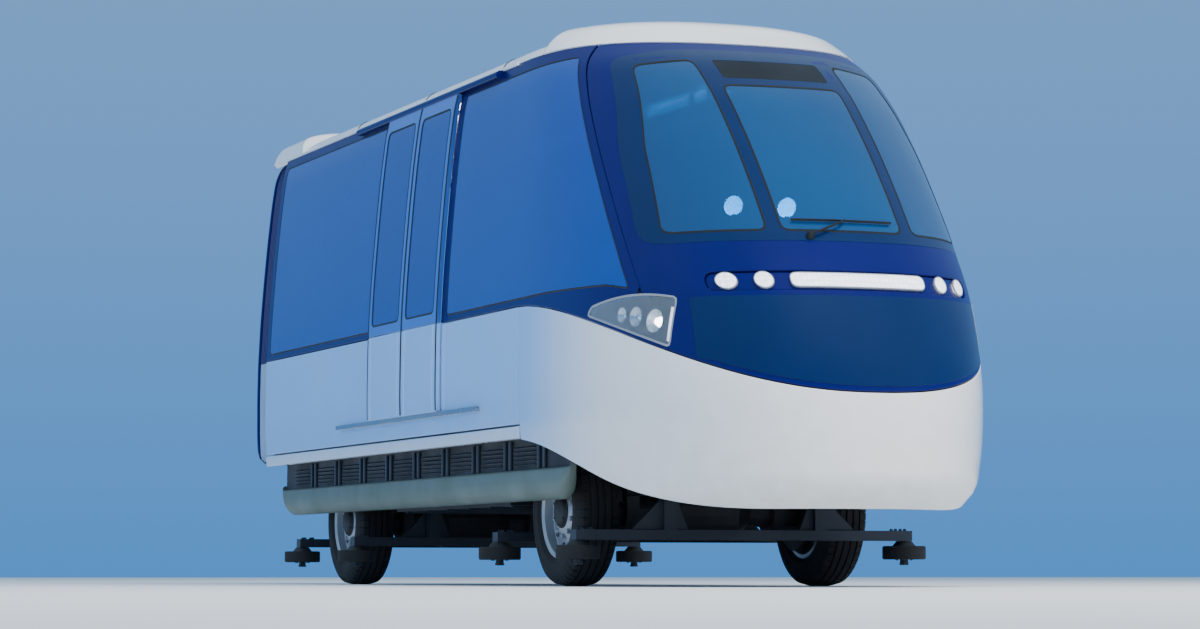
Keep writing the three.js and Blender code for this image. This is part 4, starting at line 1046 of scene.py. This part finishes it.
GUIDE_HUB = mm((26.5, -38), (60, -38), (64, -26), (80, -22), (87.8, -34), (87.8, 34), (80, 40), (70, 40),
               (50, 64), (46, 69), (26.5, 69))
PIN_NUT = mm((0.5, -14), (26, -14), (30, -10), (30, 0), (25.5, 0), (25.5, 1), (0.5, 1))
TURNTABLE = mm((395, 0), (425, 0), (428, 4), (428, 16), (424, 20), (421, 20), (420.5, 1), (395, 1))
INNER_BRACE = mm((445, 330.5), (445, 545), (434.5, 545), (360, 345), (360, 330.5))
OUTER_BRACE = mm((520, 330.5), (700, 330.5), (700, 345), (540, 500), (520, 500))


def bolt_circle(count, radius, centre, axis, lift, size, height):
    """Bolt heads round a circle about an axis, lifted along it."""
    return bolts(ring_of(count, radius, centre, axis, lift), axis, size, height)


def tyre(centre, axis):
    """Road tyre: four grooves run round it, and each shoulder is cut across 52 times."""
    y = np.linspace(-0.105, 0.105, 15)
    y = y[(np.abs(y[:, None] - GROOVES) > 0.006).all(1)]
    y = np.sort(np.append(y, GROOVES[:, None] + [-0.006, -0.0045, 0.0045, 0.006]))
    depth = 0.011 * (np.abs(y[:, None] - GROOVES) < 0.005).any(1)
    tread = np.stack([np.interp(np.abs(y), [0, 0.055, 0.105], [0.450, 0.450, 0.438]) - depth, y], -1)
    profile = np.concatenate([tread, TYRE_WALL, (TYRE_WALL * [1, -1])[::-1]])
    shoulder = np.clip((np.abs(profile[:, 1]) - 0.072) / 0.004, 0, 1) * (profile[:, 0] > 0.40)
    angle = ((np.arange(52)[:, None] + [0, 0.05, 0.17, 0.22, 0.62]) * 2 * np.pi / 52).ravel()
    cut = np.tile([0, 1, 1, 0, 0], 52)[:, None] * shoulder * 0.009
    return lathe(profile, centre, axis, ripple=(angle, cut))


def caliper(x, side):
    """Two jaws about the brake disc, the bridge over them, and the arm to the axle beam."""
    near, far = side * (TYRE_Y - 0.1465), side * (TYRE_Y - 0.1795)
    near_end, far_end = near + side * 0.030, far - side * 0.040
    return joined(
        block((x + 0.125, near, 0.50), (x + 0.300, near_end, 0.625)),
        block((x + 0.125, far, 0.50), (x + 0.300, far_end, 0.625)),
        block((x + 0.246, near_end, 0.50), (x + 0.300, far_end, 0.625)),
        block((x + 0.150, side * 0.520, 0.545), (x + 0.290, side * 0.592, 0.600), 0.008),
        bolts([(x + 0.17, near_end - side * 0.001, z) for z in (0.53, 0.60)], (0, side, 0), 0.009, 0.010))


def axle_housing(x, side):
    """Saddle over the axle: two half circles under straight flanks, with four studs."""
    angle = np.linspace(0, np.pi, 15)
    arc = np.stack([np.cos(angle), -np.sin(angle)], -1)
    saddle = np.concatenate([[(0.136, 0.0895)], arc * 0.136, [(-0.136, 0.0895), (-0.0915, 0.0895)],
                             arc[::-1] * 0.0915, [(0.0915, 0.0895)]])
    studs = [(x + u, side * 0.52, AXLE_Z + v) for u, v in mm((-112, 50), (112, 50), (-80, -82), (80, -82))]
    return joined(bar_along("y", sorted((side * 0.440, side * 0.520)), saddle + [x, AXLE_Z], 0.006),
                  bolts(studs, (0, side, 0), 0.011, 0.012))


def guide_mount(x, side, pin):
    """Nut under a guide wheel's pin, and the braces and clamps of the arm that carries it."""
    braces = [bar_along("x", (x - 0.012, x + 0.012), brace, 0.003) for brace in (INNER_BRACE, OUTER_BRACE)]
    clamps = [(x + u, side * 1.0 + v, 0.3305) for u in (-0.03, 0.03) for v in (-0.03, 0.03)]
    return joined(lathe(PIN_NUT, pin, UP, 6), *[on_side(brace, side) for brace in braces],
                  bolts(clamps, UP, 0.010, 0.012))


for where, x in AXLES.items():
    bogie = f"bogie_{where}"
    for side_name, side in SIDES.items():
        name = f"{where}_{side_name}"
        body, centre, axis = f"wheel_{name}", np.array([x, side * TYRE_Y, AXLE_Z]), (0, side, 0)
        finished(f"tyre_tread_{name}", tyre(centre, axis), TYRE_RUBBER, f"tyre_{name}", body, smooth=30)
        finished(f"rim_disc_{name}", lathe(RIM, centre, axis, 72), RIM_PAINT, f"rim_{name}", body)
        nuts = bolt_circle(6, 0.085, centre, axis, 0.105, 0.006, 0.008)
        finished(f"hub_cap_{name}", joined(lathe(HUB_CAP, centre, axis, 40), nuts), CAST_IRON, body=body)
        finished(f"wheel_bolts_{name}", bolt_circle(10, 0.150, centre, axis, 0.060, 0.015, 0.030),
                 STEEL_TUBE, None, body)
        # Dark discs on the rim's face stand for the hand holes: painted shade in place of openings
        holes = [lathe(HAND_HOLE, place, axis, 20) for place in ring_of(10, 0.224, centre, axis, 0.0465, 0.3)]
        finished(f"rim_hand_hole_shade_{name}", joined(*holes), DARK_RECESS, None, body)
        stem = ring_of(1, 0.247, centre, axis, 0.045)[0] + np.outer([0, 0.03, 0.045], axis)
        finished(f"valve_stem_{name}", tube(stem, [0.006, 0.006, 0.0045], 10), SEAL_RUBBER, None, body)
        finished(f"brake_disc_{name}", lathe(BRAKE_DISC, centre, axis, 64), CAST_IRON, body=body)
        finished(f"brake_caliper_{name}", caliper(x, side), CAST_IRON, body=bogie)
        finished(f"axle_housing_{name}", axle_housing(x, side), CAST_IRON, body=bogie)
        for end, ahead in (("fore", 0.70), ("aft", -0.70)):
            body = f"guide_{name}_{end}"
            place = np.array([x + ahead, side * 1.04, 0.20])
            finished(f"guide_tread_{name}_{end}", lathe(GUIDE_TREAD, place, UP, 56), TYRE_RUBBER,
                     f"guide_wheel_{name}_{end}", body)
            finished(f"guide_hub_{name}_{end}", joined(
                lathe(GUIDE_HUB, place, UP), bolt_circle(6, 0.050, place, DOWN, 0.037, 0.007, 0.008)),
                CAST_IRON, body=body)
            finished(f"guide_mount_{name}_{end}", guide_mount(x + ahead, side, place - [0, 0, 0.060]),
                     CHASSIS_PAINT, body=bogie)
    studs = bolt_circle(18, 0.345, (x, 0, 0.8005), DOWN, 0, 0.012, 0.014)
    finished(f"turntable_ring_{where}", joined(lathe(TURNTABLE, (x, 0, 0.803), UP, 72), studs),
             CAST_IRON, body=bogie)
    ends = [block((x + u, side * 0.428, 0.533), (x + u + 0.012, side * 0.532, 0.667), 0.004)
            for u in (-0.772, 0.760) for side in (-1, 1)]
    ribs = [bar_along("y", sorted((side * 0.526, side * 0.534)),
                      rect(x + u - 0.10, x + u + 0.10, 0.552, 0.648), 0.003)
            for u in (-0.52, 0.52) for side in (-1, 1)]
    finished(f"bogie_plates_{where}", joined(*ends, *ribs), CHASSIS_PAINT, body=bogie)
    covers = [bolt_circle(12, 0.150, (x, 0.221 * way, AXLE_Z), (0, way, 0), 0, 0.009, 0.012)
              for way in (1, -1)]
    finished(f"final_drive_bolts_{where}", joined(*covers), CAST_IRON, body=bogie)


# Under the floor: cross members, conduits, and the doors and lids of the battery box

BEAM_Y, FLOOR_FOOT = 0.461, 0.9585
members = []
for x in np.arange(-3.6, 3.2, 0.62):
    if min(abs(x - axle) for axle in AXLES.values()) < 0.60:
        continue
    for side in (-1, 1):
        reach = min(1.0, float(skin_surface(from_side([(x, 0.96)], 1)[0, 0], 0.96)[1]) - 0.09)
        near, far = side * BEAM_Y, side * reach
        for half, near_z, far_z in ((0.006, 0.862, 0.935), (0.030, 0.952, 0.952)):
            outline = [(near, near_z), (near, FLOOR_FOOT), (far, FLOOR_FOOT), (far, far_z)]
            members.append(bar_along("x", (x - half, x + half), outline, 0.002))
finished("floor_cross_members", joined(*members), CHASSIS_PAINT)
conduits = [tube([(x, y, z) for x in np.linspace(-3.7, 2.9, 50)], radius, 10)
            for y, z, radius in ((-0.60, 0.944, 0.009), (-0.56, 0.943, 0.013), (0.58, 0.942, 0.009),
                                 (0.63, 0.941, 0.013))]
finished("floor_conduits", joined(*conduits), STEEL_TUBE)
lids = []
for side in (-1, 1):
    for start in (-1.46, -0.68, 0.10):
        slats = [rect(start + 0.12, start + 0.62, z, z + 0.012) for z in np.arange(0.60, 0.75, 0.03)]
        for low, high, edge, outlines in ((0.901, 0.912, 0.004, [rect(start, start + 0.74, 0.53, 0.81)]),
                                          (0.912, 0.921, 0.003, slats)):
            lids += [bar_along("y", sorted((side * low, side * high)), outline, edge) for outline in outlines]
        lids += [block((latch - 0.014, side * 0.912, 0.565), (latch + 0.014, side * 0.930, 0.615), 0.005)
                 for latch in (start + 0.06, start + 0.68)]
lids += [bar_along("y", (-0.86, 0.86), rect(x - 0.02, x + 0.02, 0.488, 0.4995), 0.003)
         for x in np.arange(-1.4, 0.9, 0.44)]
finished("battery_box_lids", joined(*lids), CHASSIS_PAINT)

# Coupler: face plate with its guide horns, the bar's collars, and the release handle
COUPLER_Z = 0.64
CONE = mm((0.5, 0), (45, 0), (40, 6), (20, 9), (0.5, 9))
CUP = mm((22, 0), (45, 0), (45, 6), (22, 6))
COLLAR = mm((55.5, -20), (78, -20), (82, -14), (82, 14), (78, 20), (55.5, 20))
finished("coupler_fittings", joined(
    bar_along("x", (-4.404, -4.398), rounded(0.24, 0.16, 0.02) + [0, COUPLER_Z], 0.002),
    lathe(CONE, (-4.399, 0.06, COUPLER_Z), (-1, 0, 0), 32),
    lathe(CUP, (-4.402, -0.06, COUPLER_Z), (-1, 0, 0), 32),
    *[lathe(COLLAR, (x, 0, COUPLER_Z), (1, 0, 0), 36) for x in (-4.22, -4.05, -3.94)],
    bolts([(-4.345 + u, y, 0.7305) for u in (-0.03, 0.03) for y in (-0.09, 0.09)], UP, 0.012, 0.014),
    tube(mm((-4330, 128, 660), (-4330, 200, 660), (-4300, 235, 650), (-4250, 245, 600), (-4245, 245, 540)),
         0.008)), CAST_IRON)


# Interior, seen through the glass and the doors

def plan_at(height, margin, rear_x, front_x):
    """Plan outline of the cabin at a height: the skin's plan moved in, cut at both ends."""
    s = np.concatenate([np.linspace(-6.5, -NOSE_ARC, 12), np.linspace(-NOSE_ARC, NOSE_ARC, 80)[1:-1],
                        np.linspace(NOSE_ARC, 6.5, 12)])
    x, y, _ = skin(s, np.full(len(s), height), -margin).T
    kept = (x > rear_x) & (x < front_x)
    x, y = x[kept], y[kept]
    return np.array([(rear_x, y[0]), *zip(x, y), (rear_x, y[-1])])


finished("floor_covering", bar_along("z", (1.1003, 1.1040), plan_at(1.105, 0.064, -3.925, 3.6)[::-1]),
         FLOOR_VINYL)
treads = [block((x, -0.57, 1.104), (x + 0.010, 0.57, 1.1065), 0.001) for x in np.arange(-4.33, -3.99, 0.028)]
finished("gangway_tread", joined(block((-4.355, -0.60, 1.1003), (-3.975, 0.60, 1.1045), 0.002), *treads),
         STEEL_TUBE)


# How far each point of a bench's profile sinks with the seats' hollows
SEAT_SAG = np.array([0, 0, 0, 0.2, 0.5, 1, 1, 1, 1, 1, 1, 1, 0.6, 0.2, 0, 0, 0, 0, 0])[:, None]


def seat_row(low_x, high_x, seats, profile, rounding=0.015):
    """Moulded seats in a row: a closed side profile of (y, z) goes along x, its pan and back sink
    in the middle of each seat, by a power of a sine, and its ends are drawn in."""
    outward = edge_normals(turned_left(profile))
    if turning(profile) < 0:
        outward = outward[::-1]
    share = (np.arange(16 * seats) + 0.5) / 16 / seats
    share = np.concatenate([[0, 0.002], share, [0.998, 1]])
    hollow = 0.020 * np.sin(np.pi * (share * seats % 1.0).clip(0.001, 0.999)) ** 0.45 - 0.008
    hollow[[0, -1]] = rounding
    hollow = hollow[:, None, None]
    sink = hollow * np.where(SEAT_SAG > 0, SEAT_SAG, (hollow > 0.014) * 0.3)
    return np.insert(profile - outward * sink, 0, (low_x + (high_x - low_x) * share)[:, None], axis=2)


BENCH = mm((655, 1105), (655, 1420), (640, 1500), (636, 1540), (650, 1558), (690, 1562), (780, 1548),
           (870, 1538), (930, 1542), (962, 1575), (978, 1660), (990, 1800), (1000, 1920), (1010, 1952),
           (1030, 1960), (1060, 1955), (1080, 1800), (1095, 1500), (1100, 1105))
FRONT_BENCH = mm((-2365, 1105), (-2365, 1420), (-2352, 1500), (-2350, 1540), (-2362, 1558), (-2400, 1562),
                 (-2520, 1548), (-2650, 1538), (-2760, 1542), (-2805, 1575), (-2830, 1700), (-2855, 1840),
                 (-2872, 1920), (-2885, 1938), (-2910, 1940), (-2935, 1920), (-2920, 1700), (-2905, 1500),
                 (-2900, 1105))
for side_name, side in SIDES.items():
    finished(f"seats_{side_name}", on_side(sweep(seat_row(-3.80, -1.45, 5, BENCH)), side), SEAT_SHELL,
             f"bench_{side_name}", smooth=40)
front_seats = seat_row(-0.70, 0.70, 3, FRONT_BENCH)[:, ::-1, [1, 0, 2]] * [-1, 1, 1]
finished("seats_front", sweep(front_seats), SEAT_SHELL, "bench_front", smooth=40)
FLANGE = mm((16.5, 0), (40, 0), (36, 10), (18, 16), (16.5, 16))
rails = []
for x in (-1.32, 0.42):
    for y in (-0.52, 0.52):
        rails += [tube([(x, y, z) for z in np.linspace(1.104, 3.262, 24)], 0.016, 16),
                  lathe(FLANGE, (x, y, 1.104), UP, 24), lathe(FLANGE, (x, y, 3.258), DOWN, 24)]
for y in (-0.45, 0.45):
    rails.append(tube([(x, y, 2.98) for x in np.linspace(-3.75, 2.1, 60)], 0.016, 16))
    rails += [tube([(x, y, z) for z in np.linspace(2.98, 3.265, 6)], 0.011)
              for x in np.linspace(-3.6, 2.0, 6)]
finished("grab_rails", joined(*rails), STEEL_TUBE)
strips = [block((start, y - 0.05, 3.228), (start + 1.30, y + 0.05, 3.246), 0.008)
          for y in (-0.68, 0.68) for start in (-3.5, -2.1, -0.7, 0.7)]
finished("ceiling_lights", joined(*strips), DIFFUSER)
trim = densified(eased([(-0.66, 1.105), (-0.66, 3.06), (0.66, 3.06), (0.66, 1.105)], 0.12, 8), 0.06)
trim = trim[trim[:, 1] > 1.12]
order = np.argsort(-np.arctan2(trim[:, 0], trim[:, 1] - 2.0))
finished("passage_trim", tube(np.insert(trim[order], 0, -3.925, axis=1), 0.018), SEAL_RUBBER)
displays = [block((3.10, y - 0.17, 1.80), (3.12, y + 0.17, 2.02), 0.008) for y in (-0.42, 0.0, 0.42)]
finished("console_displays", joined(*displays), DARK_RECESS)
SHADE = mm((20, -45), (62, -20), (66, 0), (58, 4), (58, -6), (20, -30))
BULLSEYE = mm((0.5, -8), (57.5, -8), (54, 2), (30, 12), (0.5, 15))
# Two bright lamps on the console are painted highlights: they give the bright spots seen behind the screens
lamps, x, facing = [], 3.24, (0.95, 0, -0.3)
foot = 1.80 - 0.247 * (x - 2.99)
for k, y in enumerate((-0.37, -0.04)):
    lamps += [tube([(x, y, foot - 0.01), (x, y, foot + 0.12), (x, y, 2.11)], 0.014, 14),
              lathe(SHADE, (x, y, 2.16), facing, 32)]
    finished(f"console_glint_lamp_lens_{k}", lathe(BULLSEYE, (x, y, 2.16), facing, 28), GLINT_AND_BULB)
finished("console_glint_lamp_stands", joined(*lamps), RIM_PAINT)
pad = mm((3000, 1801), (3780, 1604), (3780, 1612), (3010, 1812), (3000, 1812))
finished("console_cover", bar_along("y", (-0.70, 0.70), pad, 0.004), SEAL_RUBBER)

# The solids that stay take their slot's first finish
for row in frame["record"]["subparts"]:
    solid = frame["nodes"][row["node"]]
    solid.data.materials.clear()
    solid.data.materials.append(FINISHES[row["material_slot"]][0])


# Stage, light and camera

def aim(obj, place, target):
    """Puts an object in the scene at a place, with its -Z towards the target and its Y upwards."""
    back = unit(np.asarray(place, float) - target)
    side = unit(np.cross([0, 0, 1.0], back))
    matrix = np.eye(4)
    matrix[:3] = np.stack([side, np.cross(back, side), back, place], -1)
    obj.matrix_world = Matrix(matrix.tolist())
    bpy.context.scene.collection.objects.link(obj)


floor = bpy.data.meshes.new("floor")
floor.from_pydata([(x, y, 0) for x, y in rect(-60, 60, -60, 60)], [], [(0, 1, 2, 3)])
floor.materials.append(grained("pale_studio_floor", "#dfe3e6", "#d9dde1", 0.75, 0.02, 0.0002))
stage = bpy.data.objects.new("floor", floor)
bpy.context.scene.collection.objects.link(stage)

world = bpy.data.worlds.new("studio")
bpy.context.scene.world = world
world.use_nodes = True
sky = world.node_tree
rise = node(sky, "SeparateXYZ", {"Vector": (node(sky, "TexCoord", {}), "Generated")})
backdrop = mixed(sky, ranged(sky, (rise, "Z"), 0.0, 0.6), linear("#4f9ff5"), linear("#c4e2fb"))
feed(sky.nodes["Background"], {"Color": backdrop, "Strength": 0.85})

# Soft boxes that light the car without showing as hard patches in its gloss
for name, place, target, size, power, colour in (
        ("key", (14, 1, 18), (1, 0, 1.5), (16, 14), 6200, "#fff6ec"),
        ("nose_fill", (18, 11, 7), (3, 0, 1.5), (16, 12), 1700, "#fff8f2"),
        ("side_fill", (-8, -26, 10), (-1, 0, 1.6), (44, 12), 3400, "#c0daff")):
    light = bpy.data.lights.new(name, "AREA")
    light.shape, light.size, light.size_y = "RECTANGLE", *size
    light.energy, light.color = power, linear(colour)[:3]
    lamp = bpy.data.objects.new(name, light)
    lamp.visible_glossy = False
    aim(lamp, place, target)

lens = bpy.data.cameras.new("camera")
lens.lens, lens.clip_end = 104.0, 200.0
camera = bpy.data.objects.new("camera", lens)
bearing, distance, eye_z, target = math.radians(20.5), 22.0, 0.07, np.array([0.75, -0.25, 1.72])
x, y = target[:2] + distance * np.array([math.cos(bearing), -math.sin(bearing)])
aim(camera, (x, y, eye_z), target)
bpy.context.scene.camera = camera
